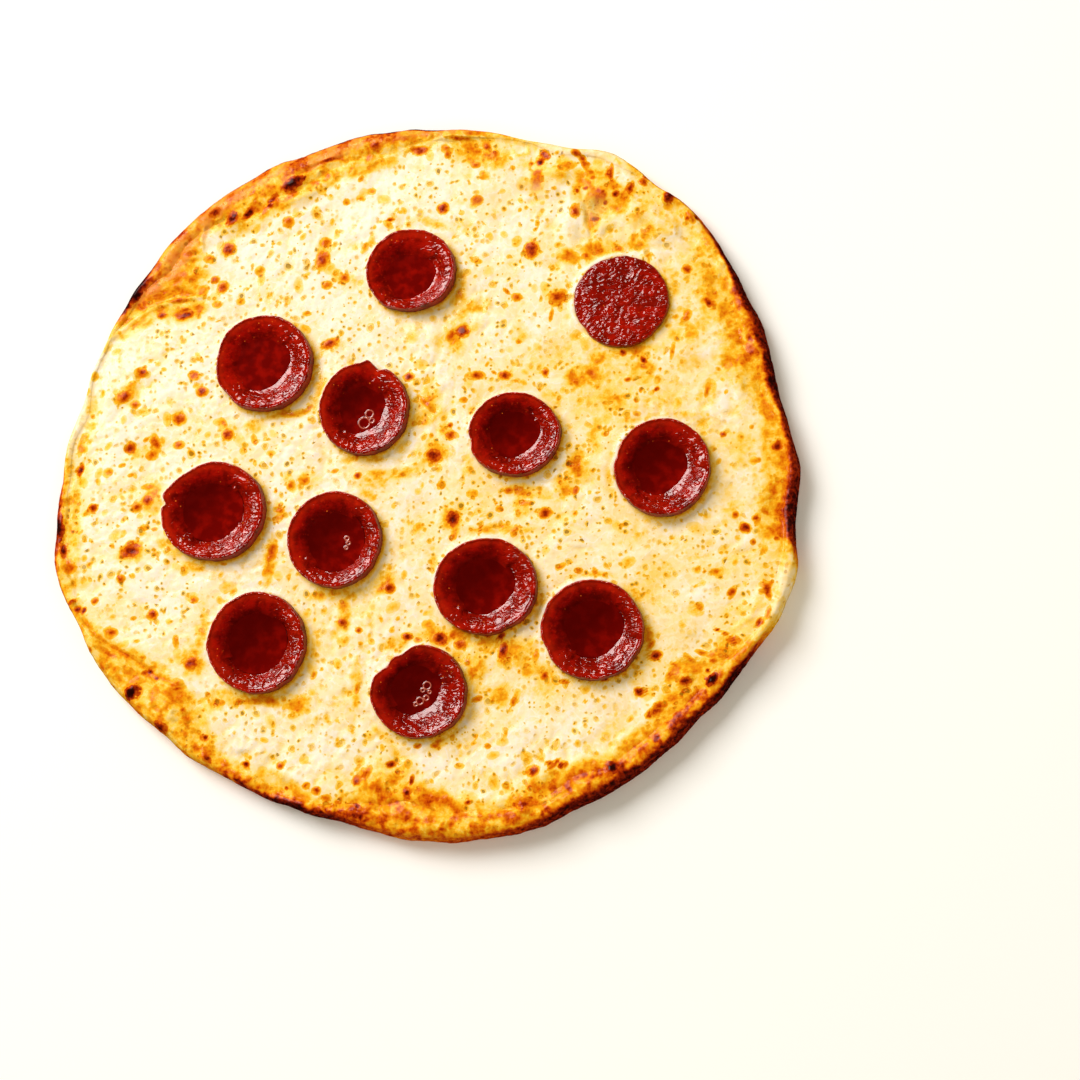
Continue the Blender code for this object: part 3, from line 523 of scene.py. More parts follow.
# Toasted spots: x, y, half length, half width, direction of the length, heat.
SPOTS = [
    # upper left
    (-78, 91.5, 2.3, 2.2, 0, 0.88), (-54, 101.5, 1.9, 1.8, 0, 0.75), (-39, 93, 1.9, 1.9, 0, 0.7),
    (-40, 86, 3.6, 2.2, 80, 0.8), (-65, 82, 1.6, 1.6, 0, 0.5), (-80, 76, 2.1, 1.8, 60, 0.82),
    (-31, 78, 1.8, 1.6, 0, 0.72), (-38, 75.5, 1.7, 1.4, 0, 0.66), (-72.5, 70, 1.4, 1.2, 0, 0.5),
    (-104, 65, 1.7, 1.2, 20, 0.85), (-94.5, 65, 3.6, 1.6, 18, 0.92), (-97, 71, 4, 1, 5, 0.7),
    (-88, 74.5, 2.4, 1.6, 40, 0.6), (-83, 79, 1.4, 1.2, 0, 0.72), (-82, 69, 1.5, 1.3, 0, 0.5),
    (-86, 87.5, 1.6, 1.3, 30, 0.62), (-91, 90, 2.2, 0.9, 30, 0.5), (-100, 79.5, 3.4, 0.7, 10, 0.6),
    (-21, 113, 1.4, 1.2, 0, 0.5), (-13, 101, 1.4, 0.7, 0, 0.9), (-31, 109, 1.2, 1, 0, 0.6),
    (-2, 128.5, 2.4, 1.2, 10, 0.85), (-14, 99, 2, 1, -40, 0.5), (-46, 58, 2, 1.3, -30, 0.5),
    (-36, 52, 3, 1.6, 20, 0.8), (-41, 114, 1.6, 1.4, 0, 0.45), (-23, 90, 2, 1, 60, 0.4),
    # upper right
    (7.5, 105, 1.9, 1.9, 0, 0.88), (21, 108, 1.9, 1.7, 0, 0.76), (42.5, 87.3, 3, 2.4, 80, 0.92),
    (53, 68, 3, 2.5, 30, 0.78), (37, 68.5, 1.7, 1.4, 0, 0.7), (59.5, 102, 2.3, 1.7, 90, 0.82),
    (67, 98.5, 1.9, 1.2, 0, 0.92), (16, 55.5, 2.2, 2.6, 90, 0.95), (12, 54, 2.4, 1.4, 40, 0.75),
    (45.5, 122.3, 1.5, 1.4, 0, 0.95), (47.5, 125, 1.6, 1.5, 0, 0.82), (42, 122, 0.9, 0.8, 0, 0.7),
    (20, 122.5, 1.5, 1.2, 0, 0.7), (24.5, 129.5, 1.3, 1.1, 0, 0.82), (18, 129, 3.4, 2, -40, 0.6),
    (27, 126, 2, 1.2, -40, 0.6), (9, 127, 1.3, 1.1, 60, 0.74), (59.5, 125.3, 1.8, 1, -30, 0.85),
    (62.5, 121, 3.6, 0.8, -65, 0.7), (56, 120.5, 3, 1.6, 10, 0.6), (73, 117, 3, 0.9, 85, 0.85),
    (66, 115.3, 1.1, 0.9, 0, 0.8), (63.5, 111, 1.1, 0.8, 0, 0.8), (70, 109, 1.2, 0.9, 30, 0.82),
    (71, 105, 0.9, 0.8, 0, 0.95), (75, 108.3, 1.7, 1.3, 60, 0.9),
    (80.5, 110.5, 2.6, 1.2, 70, 0.88), (85.5, 113, 1.8, 1.2, -30, 0.9),
    (102.5, 98, 1.1, 0.9, 0, 0.9), (104.5, 96.8, 1.1, 1, 0, 0.6), (102.5, 77.5, 1.7, 1.5, 0, 0.85),
    (110.5, 64.5, 2.2, 1.1, -50, 0.9), (102, 58.5, 1.8, 1, 30, 0.68), (104, 52, 2.4, 1.6, 0, 0.5),
    (58, 84, 3.2, 2, -30, 0.6), (64, 84, 1.6, 1.2, 0, 0.72), (69, 86, 1.4, 0.9, 0, 0.75),
    (76, 86.5, 1.8, 0.9, 0, 0.7), (33, 71, 1.4, 0.7, -50, 0.7), (22, 83, 1.2, 0.9, 0, 0.42),
    (15, 103, 1, 0.8, 0, 0.4), (70, 85, 6, 1.6, 5, 0.42), (23.5, 117.5, 1.5, 1, 0, 0.6),
    (50.5, 61, 2, 0.7, 80, 0.6), (88, 83, 1.4, 0.8, 60, 0.5),
    # left
    (-111, 42, 1.7, 1.5, 0, 0.86), (-90, 40.5, 1.9, 1.6, 0, 0.78), (-86.5, 34, 2.1, 1.7, 0, 0.84),
    (-115, 37.5, 1.4, 1.2, 0, 0.5), (-117.5, 32.5, 2.5, 1.8, 70, 0.84),
    (-113.5, 29.5, 1.7, 1.4, 0, 0.66), (-95.5, 23.3, 2.4, 2.1, 0, 0.82),
    (-75.5, 16.8, 2.1, 2, 0, 0.84), (-77.5, 21.5, 2, 0.9, 120, 0.6), (-65, 14.5, 1.9, 1, 110, 0.5),
    (-114.5, 12, 2.1, 1.9, 60, 0.88), (-104.5, 14, 3.2, 1.5, 110, 0.76),
    (-106, 9, 2.1, 1.6, 0, 0.68), (-95, 13, 2, 1.3, 0, 0.68), (-122.5, 2.5, 1.4, 1.1, 70, 0.5),
    (-134.8, 4, 2.5, 1.1, 80, 0.95), (-133.5, 12, 1.5, 1.2, 0, 0.48),
    (-133.5, 17, 1.5, 1.4, 0, 0.5), (-128.5, -11.5, 1.7, 1.5, 0, 0.92),
    (-106.5, -8.8, 2.1, 2, 0, 0.86), (-111, -11.5, 1.8, 1.7, 0, 0.75),
    (-106, -3.5, 2.6, 1.2, 0, 0.55), (-107.5, -19.5, 1.6, 1, 0, 0.5),
    (-112.5, -28.5, 4, 2.6, 25, 0.92), (-116, -39.5, 1.5, 1.3, 0, 0.76),
    (-86.5, -48, 1.5, 1.1, 0, 0.68), (-137, -35, 2.4, 2.2, 0, 0.72), (-126, -48, 1.4, 1, 60, 0.85),
    (-49.8, -3.8, 1.6, 1.1, 60, 0.74), (-44.5, -2, 1.9, 1.4, 0, 0.68),
    (-23.5, -0.5, 1.4, 1.2, 0, 0.8), (-53.5, -13.5, 1.3, 1.1, 0, 0.7),
    (-54.5, -16.7, 1.8, 1.2, 20, 0.6), (-56.5, -30, 4.2, 1.6, 75, 0.74),
    (-58, -37, 2, 1.3, 60, 0.6), (-10, -44, 1.9, 1.8, 0, 0.92), (-4.5, 38, 1.9, 1.5, 0, 0.86),
    (-53, 24.5, 2.6, 1.2, -10, 0.62), (-45, 25.2, 2, 0.9, 20, 0.56),
    (-71, -45, 1.5, 1.1, 60, 0.48), (-24, -30, 1.2, 0.9, 60, 0.4), (-43, 27, 1.2, 0.9, 40, 0.6),
    (-33, 14, 1.2, 0.7, 30, 0.5), (-58, 9, 1.6, 0.9, 0, 0.4), (-24, 7, 1.6, 0.8, 80, 0.66),
    # right
    (22, 38, 2.5, 1.4, 0, 0.82), (33, 37.7, 2.3, 1.6, 0, 0.88), (48.5, 38.5, 1.6, 1.2, 90, 0.76),
    (17, 28.5, 1.3, 1, 0, 0.6), (12, 14.8, 1.7, 1.6, 0, 0.84), (12, 18.7, 1, 0.8, 0, 0.8),
    (6, 7, 3, 2.6, 0, 0.92), (9, -4.5, 1.5, 1.3, 60, 0.6), (21, -8, 1.8, 1.3, 0, 0.55),
    (35, -7, 1.4, 1.2, 0, 0.76), (60.5, -7.5, 1.5, 1.1, 60, 0.76), (13.5, -17.5, 3, 2.6, 80, 0.95),
    (14, -24.5, 1.5, 1.1, 60, 0.6), (31.5, -14, 1.3, 1.1, 0, 0.66), (49, -16, 2.4, 1.8, 10, 0.8),
    (37.5, -22.5, 2, 1.2, 70, 0.68), (41, -12, 2.4, 1, 0, 0.62), (24.3, -22, 2, 0.7, 80, 0.78),
    (86, 42.5, 1.7, 1.1, -50, 0.96), (78, 45.5, 1.4, 1.2, 0, 0.86), (91, 31, 1.1, 0.8, 30, 0.95),
    (110, 30, 2.2, 0.8, 80, 0.66), (136, 8, 2.2, 1.6, 0, 0.95), (124, -22.5, 2.1, 1.6, -20, 0.92),
    (128, -19, 1.3, 1, 0, 0.9), (120.5, -17.5, 1.3, 1.1, 60, 0.82), (116, 13.2, 1.1, 0.9, 0, 0.8),
    (135.5, -26.5, 0.9, 0.8, 0, 0.9), (131, -31, 1.6, 1, 60, 0.5), (132, -46, 3.2, 1.2, 105, 0.86),
    (119, -46.5, 1.8, 1.2, 50, 0.85), (113, -39, 1.6, 1.2, 0, 0.6), (68, -39, 1.8, 1, 100, 0.68),
    (62, -38, 1.3, 1, 0, 0.62), (55, -36.5, 1.7, 1, 30, 0.55), (0.5, -20.5, 1.7, 1.2, 30, 0.5),
    (97, 46, 3, 0.7, 80, 0.6), (3, 27, 4, 1.2, -45, 0.62), (2, 20, 1.5, 1, 0, 0.5),
    (80, 35, 1.1, 0.8, 0, 0.8), (71.5, 14, 1.2, 1, 0, 0.5), (129, 3, 1, 0.8, 0, 0.6),
    # lower left
    (-103, -53.5, 1.9, 1.7, 0, 0.82), (-118.5, -60.5, 1.9, 1.5, 0, 0.76),
    (-86, -72, 2.4, 2, 30, 0.84), (-108, -83, 3.2, 2.4, 80, 0.97), (-97, -96.5, 3, 1.8, -30, 0.95),
    (-80, -100.5, 1.1, 1, 0, 0.95), (-79, -108.5, 1.8, 1.2, -30, 0.9),
    (-72, -111, 1.4, 1, 0, 0.75), (-64, -110.5, 1.3, 1, 0, 0.92), (-50.5, -111, 1.4, 1.2, 0, 0.74),
    (-48, -119.3, 0.9, 0.8, 0, 0.9), (-36, -120, 1.4, 1.1, -20, 0.84),
    (-32.5, -123, 1.6, 1.2, 0, 0.66), (-20.5, -126, 2, 1, -30, 0.92),
    (-21, -117, 1.5, 1.2, 50, 0.92), (-17.5, -114, 3, 1.2, 50, 0.7),
    (-8, -110.5, 1.8, 1.3, 10, 0.92), (-1.5, -121, 1.5, 1.1, -30, 0.97),
    (-103, -75.5, 2, 0.8, 0, 0.95), (-100, -78, 1, 0.7, 0, 0.9), (-120, -68, 4.6, 1.2, -28, 0.66),
    (-28, -57, 1.7, 1.5, 0, 0.84), (-21.5, -60, 1.2, 1, 0, 0.76), (-3, -62.5, 1.9, 1.4, 10, 0.9),
    (-21.5, -82, 2, 0.8, 80, 0.66), (-60, -86.5, 3.2, 1.2, 0, 0.62), (-67, -86.8, 1.5, 1, 0, 0.74),
    (-74, -87.5, 1.2, 1, 0, 0.66), (-89, -90, 1.2, 1, 0, 0.82), (-91, -82, 2.4, 1, 10, 0.7),
    (-130.5, -52, 1.5, 0.9, 60, 0.96), (-93, -64, 2.2, 1, 100, 0.55), (-46, -88, 3.4, 1.6, 0, 0.5),
    (-38.5, -77, 1.5, 0.9, 60, 0.55), (-106, -70, 1.2, 0.8, 0, 0.6), (-40, -118, 1, 0.8, 0, 0.7),
    (-115, -78, 2.2, 1.4, -40, 0.6), (-88, -104, 1.6, 1.2, 0, 0.55),
    (-28, -124.5, 1.2, 0.9, 0, 0.7),
    # lower right
    (9.5, -63.5, 3, 2.5, 0, 0.93), (17.5, -65.5, 2.1, 1.7, 0, 0.84), (34, -68, 3.2, 1.9, 80, 0.92),
    (49.5, -77.5, 1.6, 1.3, 60, 0.84), (46, -70, 2.2, 1.1, 80, 0.6), (33, -62.5, 2, 1, 30, 0.92),
    (28, -62.5, 1.4, 0.9, 0, 0.85), (72, -78.8, 2, 0.9, 0, 0.92), (91, -70, 2.1, 1.6, 20, 0.93),
    (89, -66, 1.8, 1, 50, 0.75), (84.8, -83.5, 1.7, 1.6, 0, 0.95), (92, -89, 1.7, 1.5, 0, 0.84),
    (88.5, -92, 1.3, 1.1, 0, 0.85), (102, -79.5, 2.3, 1.7, 10, 0.93),
    (111, -79, 2.2, 1.7, 10, 0.98), (96.5, -77.3, 1.6, 1.3, 60, 0.76),
    (97.5, -73.3, 0.8, 0.6, 0, 0.85), (110, -75.5, 1, 0.8, 90, 0.9), (112, -72, 1.4, 1.1, 0, 0.76),
    (108, -69, 2.2, 0.9, -20, 0.66), (119.5, -64.5, 2, 0.9, 110, 0.92),
    (116.5, -62, 1, 0.8, 0, 0.8), (113.7, -60.6, 0.9, 0.7, 0, 0.9), (129, -58, 1.7, 1, 70, 0.92),
    (46, -112.5, 1.9, 1.5, 0, 0.92), (56, -110.5, 1.4, 1.2, 0, 0.96),
    (52, -109.7, 1.9, 0.7, 0, 0.85), (75, -111.5, 2.2, 2, 0, 0.97), (63, -113.5, 1.2, 1, 60, 0.76),
    (42.5, -125, 2.4, 1.2, 10, 0.93), (39, -125, 1, 1, 0, 0.85), (45, -122.5, 1, 0.8, 0, 0.84),
    (21.5, -124.5, 1.3, 0.8, 10, 0.85), (54, -120.3, 1, 0.7, 0, 0.85), (38, -87, 1.6, 1, 60, 0.68),
    (28.5, -103.5, 1, 0.9, 0, 0.66), (24, -86, 1.9, 0.9, 20, 0.68), (8, -122.5, 1.3, 0.6, 0, 0.95),
    (0, -116.5, 2, 0.8, 80, 0.9), (97, -96, 2.6, 1.5, 50, 0.72), (2, -103.5, 1.3, 0.9, 0, 0.75),
    (8.5, -103.5, 1.2, 0.9, 0, 0.8), (5, -58, 2, 1.6, 0, 0.55), (1.5, -64, 1.4, 1, 0, 0.7),
    (57, -79.5, 2, 0.8, 0, 0.75), (33, -82.5, 1.8, 0.7, 0, 0.6), (12, -134, 2, 0.8, 80, 0.7),
    (18, -111, 1.4, 0.9, 0, 0.5),
]

# Golden baked cheese: x, y, half length, half width, direction of the length, strength.
GOLDEN = [
    (-12, -120, 15, 11, 10, 0.44), (8, -128, 18, 6, 5, 0.5), (52, -118, 12, 6, 25, 0.42),
    (104, -78, 9, 9, 0, 0.4), (122, -54, 8, 7, 60, 0.2), (76, -112, 12, 5, 35, 0.46),
    (68, 113, 11, 6, -25, 0.5), (90, 100, 12, 7, -40, 0.22), (22, 127, 12, 5, -10, 0.46),
    (50, 118, 12, 4, -20, 0.34), (-138, -25, 5, 26, 0, 0.42), (-105, -82, 22, 10, -42, 0.4),
    (-88, -100, 16, 8, -38, 0.4), (-50, -118, 18, 4, -20, 0.3), (-98, 78, 14, 9, 55, 0.5),
    (-62, 108, 20, 5, 32, 0.4), (-28, 123, 18, 5, 14, 0.4), (116, 70, 8, 16, -30, 0.42),
    (122, 50, 7, 16, -20, 0.46), (134, 10, 5, 18, 0, 0.4), (134, -18, 6, 14, 0, 0.44),
    (98, -92, 8, 8, 0, 0.4), (12, -70, 16, 5, 0, 0.42), (-112, 62, 10, 3, 30, 0.34),
    (-132, 20, 3, 20, 0, 0.22), (70, 84, 14, 4, 5, 0.3), (-4, 24, 8, 10, 0, 0.26),
    (82, 34, 12, 8, 0, 0.16), (45, -75, 6, 8, 0, 0.26), (14, 55, 9, 5, 30, 0.3),
    # round the slices and between them
    (15, 68, 3.2, 11, 0, 0.4), (14, 52, 4, 7, 0, 0.4), (21, 66, 7, 3, 10, 0.38),
    (4, 99, 7, 1.6, -20, 0.34), (57, 84, 5, 3, -20, 0.5), (74, 87, 15, 3, 3, 0.5),
    (84, 90, 7, 3, 30, 0.42), (96, 74, 2, 9, 20, 0.3), (82, 46, 16, 2.6, 8, 0.42),
    (70, 44, 7, 3.5, 0, 0.44), (98, 52, 3.5, 5, -30, 0.32), (64, 37, 9, 6, 15, 0.5),
    (85, 38, 6, 4.5, 0, 0.46), (74, 27, 6, 5, 20, 0.36), (63, 2, 7, 6, 50, 0.5),
    (68, 14, 4, 9, 0, 0.34), (44, -8, 13, 3.2, -8, 0.46), (56, -6, 5, 4, 0, 0.42),
    (40, -14, 4, 6, 0, 0.36), (52, 26, 4, 7, 30, 0.34), (21, 22, 2.2, 8, 10, 0.3),
    (20, 4, 2.4, 7, -20, 0.32), (5, 8, 7, 8, 0, 0.34), (3, 28, 4.6, 9, -15, 0.46),
    (9, 18, 3.2, 5, 0, 0.36), (-12, 0, 13, 2.4, 4, 0.42), (-20, 6, 9, 2, 0, 0.42),
    (-6, 12, 4, 3, 50, 0.36), (-38, 34, 4, 5, 30, 0.36), (-52, 24, 10, 2, 8, 0.44),
    (-41, 30, 2.4, 7, -30, 0.38), (-36, 51, 6, 3, 10, 0.3), (-44, -2, 6, 3.5, 10, 0.36),
    (-55, -14, 4, 4, 0, 0.34), (-57, -33, 2.8, 9, -8, 0.46), (-96, -27, 8, 4, -35, 0.36),
    (-104, -8, 6, 6, 0, 0.4), (-112, -29, 6, 4, 20, 0.36), (-88, -35, 10, 2.4, -6, 0.3),
    (-85, 6, 4, 2, 0, 0.22), (-30, -46, 13, 2.6, 4, 0.42), (-28, -53, 3, 7, 0, 0.42),
    (-13, -42, 6, 4, 30, 0.46), (-19, -8, 5, 2, -30, 0.3), (14, -18, 5, 7, 0, 0.4),
    (30, -22, 15, 2.2, 0, 0.38), (20, -27, 7, 2.6, 30, 0.36), (7, -38, 2, 9, 5, 0.32),
    (48, -52, 3.4, 11, 15, 0.38), (30, -66, 18, 4, 0, 0.44), (36, -70, 5, 5, 0, 0.42),
    (10, -62, 14, 3.6, 0, 0.54), (-6, -64, 6, 3, 20, 0.42), (24, -76, 4, 8, 0, 0.44),
    (33, -85, 8, 4, 10, 0.38), (50, -79, 5, 5, 0, 0.46), (44, -74, 4, 6, 0, 0.36),
    (-12, -99, 6, 2.2, -40, 0.44), (11, -102, 7, 2.2, 35, 0.46), (22, -92, 3, 6, 20, 0.34),
    (88, -63, 2.6, 10, 5, 0.44), (68, -40, 12, 2, 0, 0.36), (82, -47, 6, 3, -45, 0.34),
    (84, -78, 4, 4, 0, 0.34), (-60, -86, 15, 3.4, 0, 0.54), (-45, -88, 6, 4, -10, 0.44),
    (-86, -72, 5, 7, 20, 0.44), (-82, -60, 3, 8, 10, 0.34), (-22, -80, 2.2, 9, 0, 0.4),
    (-28, -58, 3.4, 3, 0, 0.4), (-39, -72, 2.2, 9, 0, 0.32), (-76, -86, 5, 4, 30, 0.42),
    (92, 20, 15, 2.2, 4, 0.34), (74, 0, 2.2, 11, 0, 0.38), (112, 2, 2, 11, 0, 0.32),
    (92, -19, 13, 2, 0, 0.28), (110, 29, 5, 4, 40, 0.36), (103, 41, 6, 4, 0, 0.3),
    (118, -16, 5, 5, 0, 0.3), (45, 116, 4, 7, 0, 0.5), (73, 108, 11, 7, -10, 0.56),
    (66, 99, 4, 6, 0, 0.4), (84, 97, 6, 4, 0, 0.38), (60, 110, 3, 5, 0, 0.4),
    (43, 87, 3.4, 4, 0, 0.36), (53, 68, 4, 4, 0, 0.44), (38, 54, 3, 5, 0, 0.26),
    (-93, 66, 8, 3.5, 20, 0.5), (-78, 92, 4, 4, 0, 0.34), (-39, 90, 3, 6, 0, 0.36),
    (-30, 77, 4, 3, 0, 0.3), (-115, 34, 4, 5, 0, 0.36), (-108, 11, 8, 4, 20, 0.34),
    (-76, 19, 4, 4, 0, 0.32), (-95, 24, 3.4, 3.4, 0, 0.32), (-64, 20, 5, 3, 0, 0.3),
]

# Whitest cheese: x, y, half length, half width, direction of the length, strength.
PALE = [
    (-70, 87, 15, 9, 10, 1), (-42, 72, 13, 6, -25, 1), (-66, 72, 8, 5, 0, 0.8),
    (-12, 119, 16, 6, 5, 1), (-30, 104, 12, 8, 0, 0.8), (6, 116, 6, 9, 0, 0.8),
    (42, 76, 9, 5, 10, 0.9), (34, 96, 12, 7, 0, 0.7), (-120, 22, 8, 9, 0, 0.9),
    (-88, 6, 22, 5, 0, 0.8), (-98, 40, 8, 8, 0, 0.6), (-118, 48, 9, 8, 0, 0.6),
    (-36, -6, 13, 4, 5, 0.9), (6, -12, 7, 8, 0, 0.7), (-118, -22, 8, 6, 0, 0.8),
    (-101, -44, 16, 9, 0, 0.8), (-60, -43, 8, 3, 0, 0.9), (56, -96, 22, 7, 20, 0.8),
    (28, -108, 12, 6, 10, 0.8), (-34, -104, 14, 6, -10, 0.7), (-62, -99, 12, 5, -15, 0.7),
    (-22, 60, 14, 6, 0, 0.5), (30, 52, 10, 8, 0, 0.5), (-108, -60, 8, 5, 0, 0.6),
    (104, -52, 8, 8, 0, 0.5), (30, 117, 7, 6, 0, 0.5), (-4, -52, 9, 7, 0, 0.4),
    (64, -24, 12, 6, 0, 0.3), (-20, -72, 10, 6, 0, 0.4), (-126, 4, 5, 10, 0, 0.6),
    (50, 56, 8, 6, 0, 0.4), (100, -30, 14, 6, 0, 0.3),
]

# Clear yellow oil standing in the cheese: x, y, half length, half width, direction, strength.
OILY = [
    (65, 36, 9, 6, 10, 0.95), (75, 25, 6, 4, 20, 0.8), (61, 1, 6, 4, 60, 0.95),
    (85, 37, 6, 4, 0, 0.6), (21, 66, 7, 4, 10, 0.7), (-14, -3, 9, 2.4, 5, 0.8),
    (-2, 1, 8, 2.4, 10, 0.6), (4, 30, 5, 6, 0, 0.6), (-97, -27, 5, 4, -30, 0.75),
    (-40, 39, 4, 3, 0, 0.7), (-63, 72, 6, 4, 0, 0.4), (8, 22, 4, 6, 0, 0.6),
    (32, -82, 9, 3, 5, 0.6), (49, -82, 4, 4, 0, 0.6), (-57, -34, 2.2, 6, 0, 0.7),
    (24, -72, 7, 4, -20, 0.7), (17, 97, 7, 3, -30, 0.5), (98, 25, 6, 3, 30, 0.35),
    (73, -2, 3, 3, 0, 0.7), (70, 46, 9, 3, 0, 0.5), (-22, 62, 6, 3, 30, 0.35),
    (-86, -66, 5, 5, 0, 0.45), (25, -16, 6, 4, 0, 0.5), (33, -7, 5, 3, 0, 0.4),
    (110, 5, 5, 4, 0, 0.25), (-5, 100, 8, 3, 0, 0.3), (104, 54, 4, 3, 0, 0.4),
    (-48, 13, 5, 2, 0, 0.2), (58, -30, 8, 5, 0, 0.25), (90, -35, 10, 6, 0, 0.2),
    (-76, -40, 8, 3, 0, 0.2), (44, 28, 6, 5, 0, 0.3), (12, 60, 6, 8, 0, 0.5),
]

# Large bubbles and hollows of the cheese: x, y, half length, half width, direction, rise in mm.
MOUNDS = [
    (58, 98, 5, 9, 0, 0.8), (64.6, 97, 1.3, 8, 8, -1), (69.5, 103.2, 5, 3.8, 0, -1.1),
    (70.8, 95.8, 4.2, 2.8, 15, 1.1), (76, 90.5, 4.4, 3, -10, 0.8), (50.5, 96.5, 3, 3.2, 0, -0.5),
    (51, 81, 5.5, 3.2, 0, -0.6), (44, 107, 4.2, 1.8, 0, -0.7), (52, 104, 4.6, 3, 0, 0.6),
    (82, 102, 4, 3, 40, 0.7), (90, 92, 5, 3, -40, 0.6), (-36, 99, 5, 3, 20, -0.5),
    (-44, 106, 6, 2.2, 30, 0.6), (-47, 97, 4, 3, 0, 0.5), (-28, 92, 5, 4, 0, -0.5),
    (-100, -94, 1.6, 1.3, 0, 0.7), (-84, -86, 6, 3, -30, -0.6), (-76, -94, 5, 4, 0, 0.7),
    (-92, -80, 5, 2.4, 10, 0.6), (40, -98, 8, 4, 10, 0.5), (66, -98, 8, 4, 30, 0.5),
    (-112, 4, 5, 6, 0, 0.5), (-30, 12, 5, 3, 0, 0.4), (110, 46, 5, 4, 30, 0.5),
]

# Hollows with painted tan shade: x, y, half length, half width, direction, strength.
SHADES = [
    (42, 112, 7, 3, 0, 0.8), (66, 103, 5, 5, 0, 0.8), (28, 108, 8, 4, 10, 0.4),
    (60, 94, 3, 5, 0, 0.6), (84, 97, 4, 3, 0, 0.4), (97, 88, 5, 3, 60, 0.4),
    (5, 62, 9, 4, -20, 0.45), (-12, 55, 6, 3, 0, 0.3), (30, 100, 8, 3, 0, 0.3),
    (50, 106, 6, 4, 0, 0.5), (90, 20, 9, 3, 0, 0.3), (-50, 84, 8, 4, 20, 0.2),
    (14, 34, 3, 5, -40, 0.3), (-60, -14, 3, 8, 0, 0.25), (106, 42, 6, 4, 0, 0.3),
    (75, -90, 9, 4, 0, 0.3), (-40, 4, 7, 4, 0, 0.25), (0, -12, 9, 4, 0, 0.2),
    (52, 48, 7, 4, 30, 0.3), (118, -8, 5, 5, 0, 0.25),
]

# ---- sausage ------------------------------------------------------------------------------
CUP_HEIGHT = 6.0
FLAT_HEIGHT = 3.4
CUP_FLOOR = 0.245
# Cup in section: share of the radius, share of the height, share of the cup's drift.
CUP_SECTION = np.array([
    (0.00, 0.00, 0.0), (0.84, 0.00, 0.0), (0.97, 0.02, 0.0), (1.00, 0.16, 0.0), (1.00, 0.50, 0.0),
    (1.00, 0.82, 0.0), (0.985, 0.97, 0.05), (0.955, 1.00, 0.1), (0.905, 0.91, 0.25),
    (0.75, 0.76, 0.5), (0.63, 0.585, 0.8), (0.54, 0.435, 1.0), (0.43, 0.325, 1.0),
    (0.30, 0.265, 1.0), (0.15, 0.247, 1.0), (0.00, CUP_FLOOR, 1.0),
])
FLAT_SECTION = np.array([
    (0.00, 0.00, 0.0), (0.86, 0.00, 0.0), (0.98, 0.04, 0.0), (1.00, 0.20, 0.0), (1.00, 0.62, 0.0),
    (0.985, 0.86, 0.0), (0.945, 0.96, 0.0), (0.80, 1.00, 0.0), (0.50, 0.98, 0.0),
    (0.25, 0.97, 0.0), (0.00, 0.98, 0.0),
])


def degrees_between(degrees: np.ndarray, direction: float) -> np.ndarray:
    """Turn from one direction to others, from -180 to 180 degrees."""
    return (degrees - direction + 180.0) % 360.0 - 180.0


@dataclass(frozen=True)
class SlicePlan:
    """Where one slice lies and how its rim runs.

    Attributes:
        number: which slice it is.
        x: middle along X in mm.
        y: middle along Y in mm.
        radius: mean outer radius in mm.
        stretch: how much longer it is along X than along Y.
        drift: offset of the cup from the slice's middle, in mm.
        pool: oil pool's radius as a share of the slice's, 0 for none.
        breaks: (direction, half width in degrees, depth in mm, loss of height in mm).
        gloom: how much darker its cup is than usual, below zero for lighter.
        bubbles: (x, y, radius) of bubbles in the oil, from the pool's middle, in mm.
    """

    number: int
    x: float
    y: float
    radius: float
    stretch: float
    drift: tuple[float, float]
    pool: float
    breaks: tuple[tuple[float, float, float, float], ...]
    gloom: float
    bubbles: tuple[tuple[float, float, float], ...] = ()

    @property
    def node(self) -> str:
        """Name of the slice's solid."""
        return f"sausage_{self.number:02d}"

    @property
    def oil_node(self) -> str:
        """Name of the oil's solid."""
        return f"oil_{self.number:02d}"

    @property
    def kind(self) -> Kind:
        """A cup, or flat where no oil stands in it."""
        return Kind.CUP if self.pool else Kind.FLAT

    def outline(self, degrees: np.ndarray) -> np.ndarray:
        """Outer radius: an oval less a bell-shaped bite at each break.

        Args:
            degrees: directions from the slice's middle.

        Returns:
            Radius in mm.
        """
        radius = self.radius * (1.0 + self.stretch * np.cos(np.radians(2.0 * degrees)))
        for direction, width, depth, _ in self.breaks:
            radius = radius - depth * bell(degrees_between(degrees, direction), width)
        return radius

    def lip_drop(self, degrees: np.ndarray) -> np.ndarray:
        """Loss of lip height: a bell at each break.

        Args:
            degrees: directions from the slice's middle.

        Returns:
            Loss in mm.
        """
        drop = np.zeros_like(degrees)
        for direction, width, _, loss in self.breaks:
            drop += loss * bell(degrees_between(degrees, direction), width)
        return drop

    def share(self, x: np.ndarray, y: np.ndarray) -> np.ndarray:
        """Distance from the slice's middle over its outer radius in that direction.

        Args:
            x: places in mm.
            y: places in mm.

        Returns:
            0 at the middle, 1 on the outline.
        """
        off_x = x - self.x
        off_y = y - self.y
        return np.hypot(off_x, off_y) / self.outline(np.degrees(np.arctan2(off_y, off_x)))

    def lee(self, x: np.ndarray, y: np.ndarray) -> np.ndarray:
        """From 0 on the slice's side towards the lamp to 1 on its far side."""
        return away_from_lamp(np.arctan2(y - self.y, x - self.x))


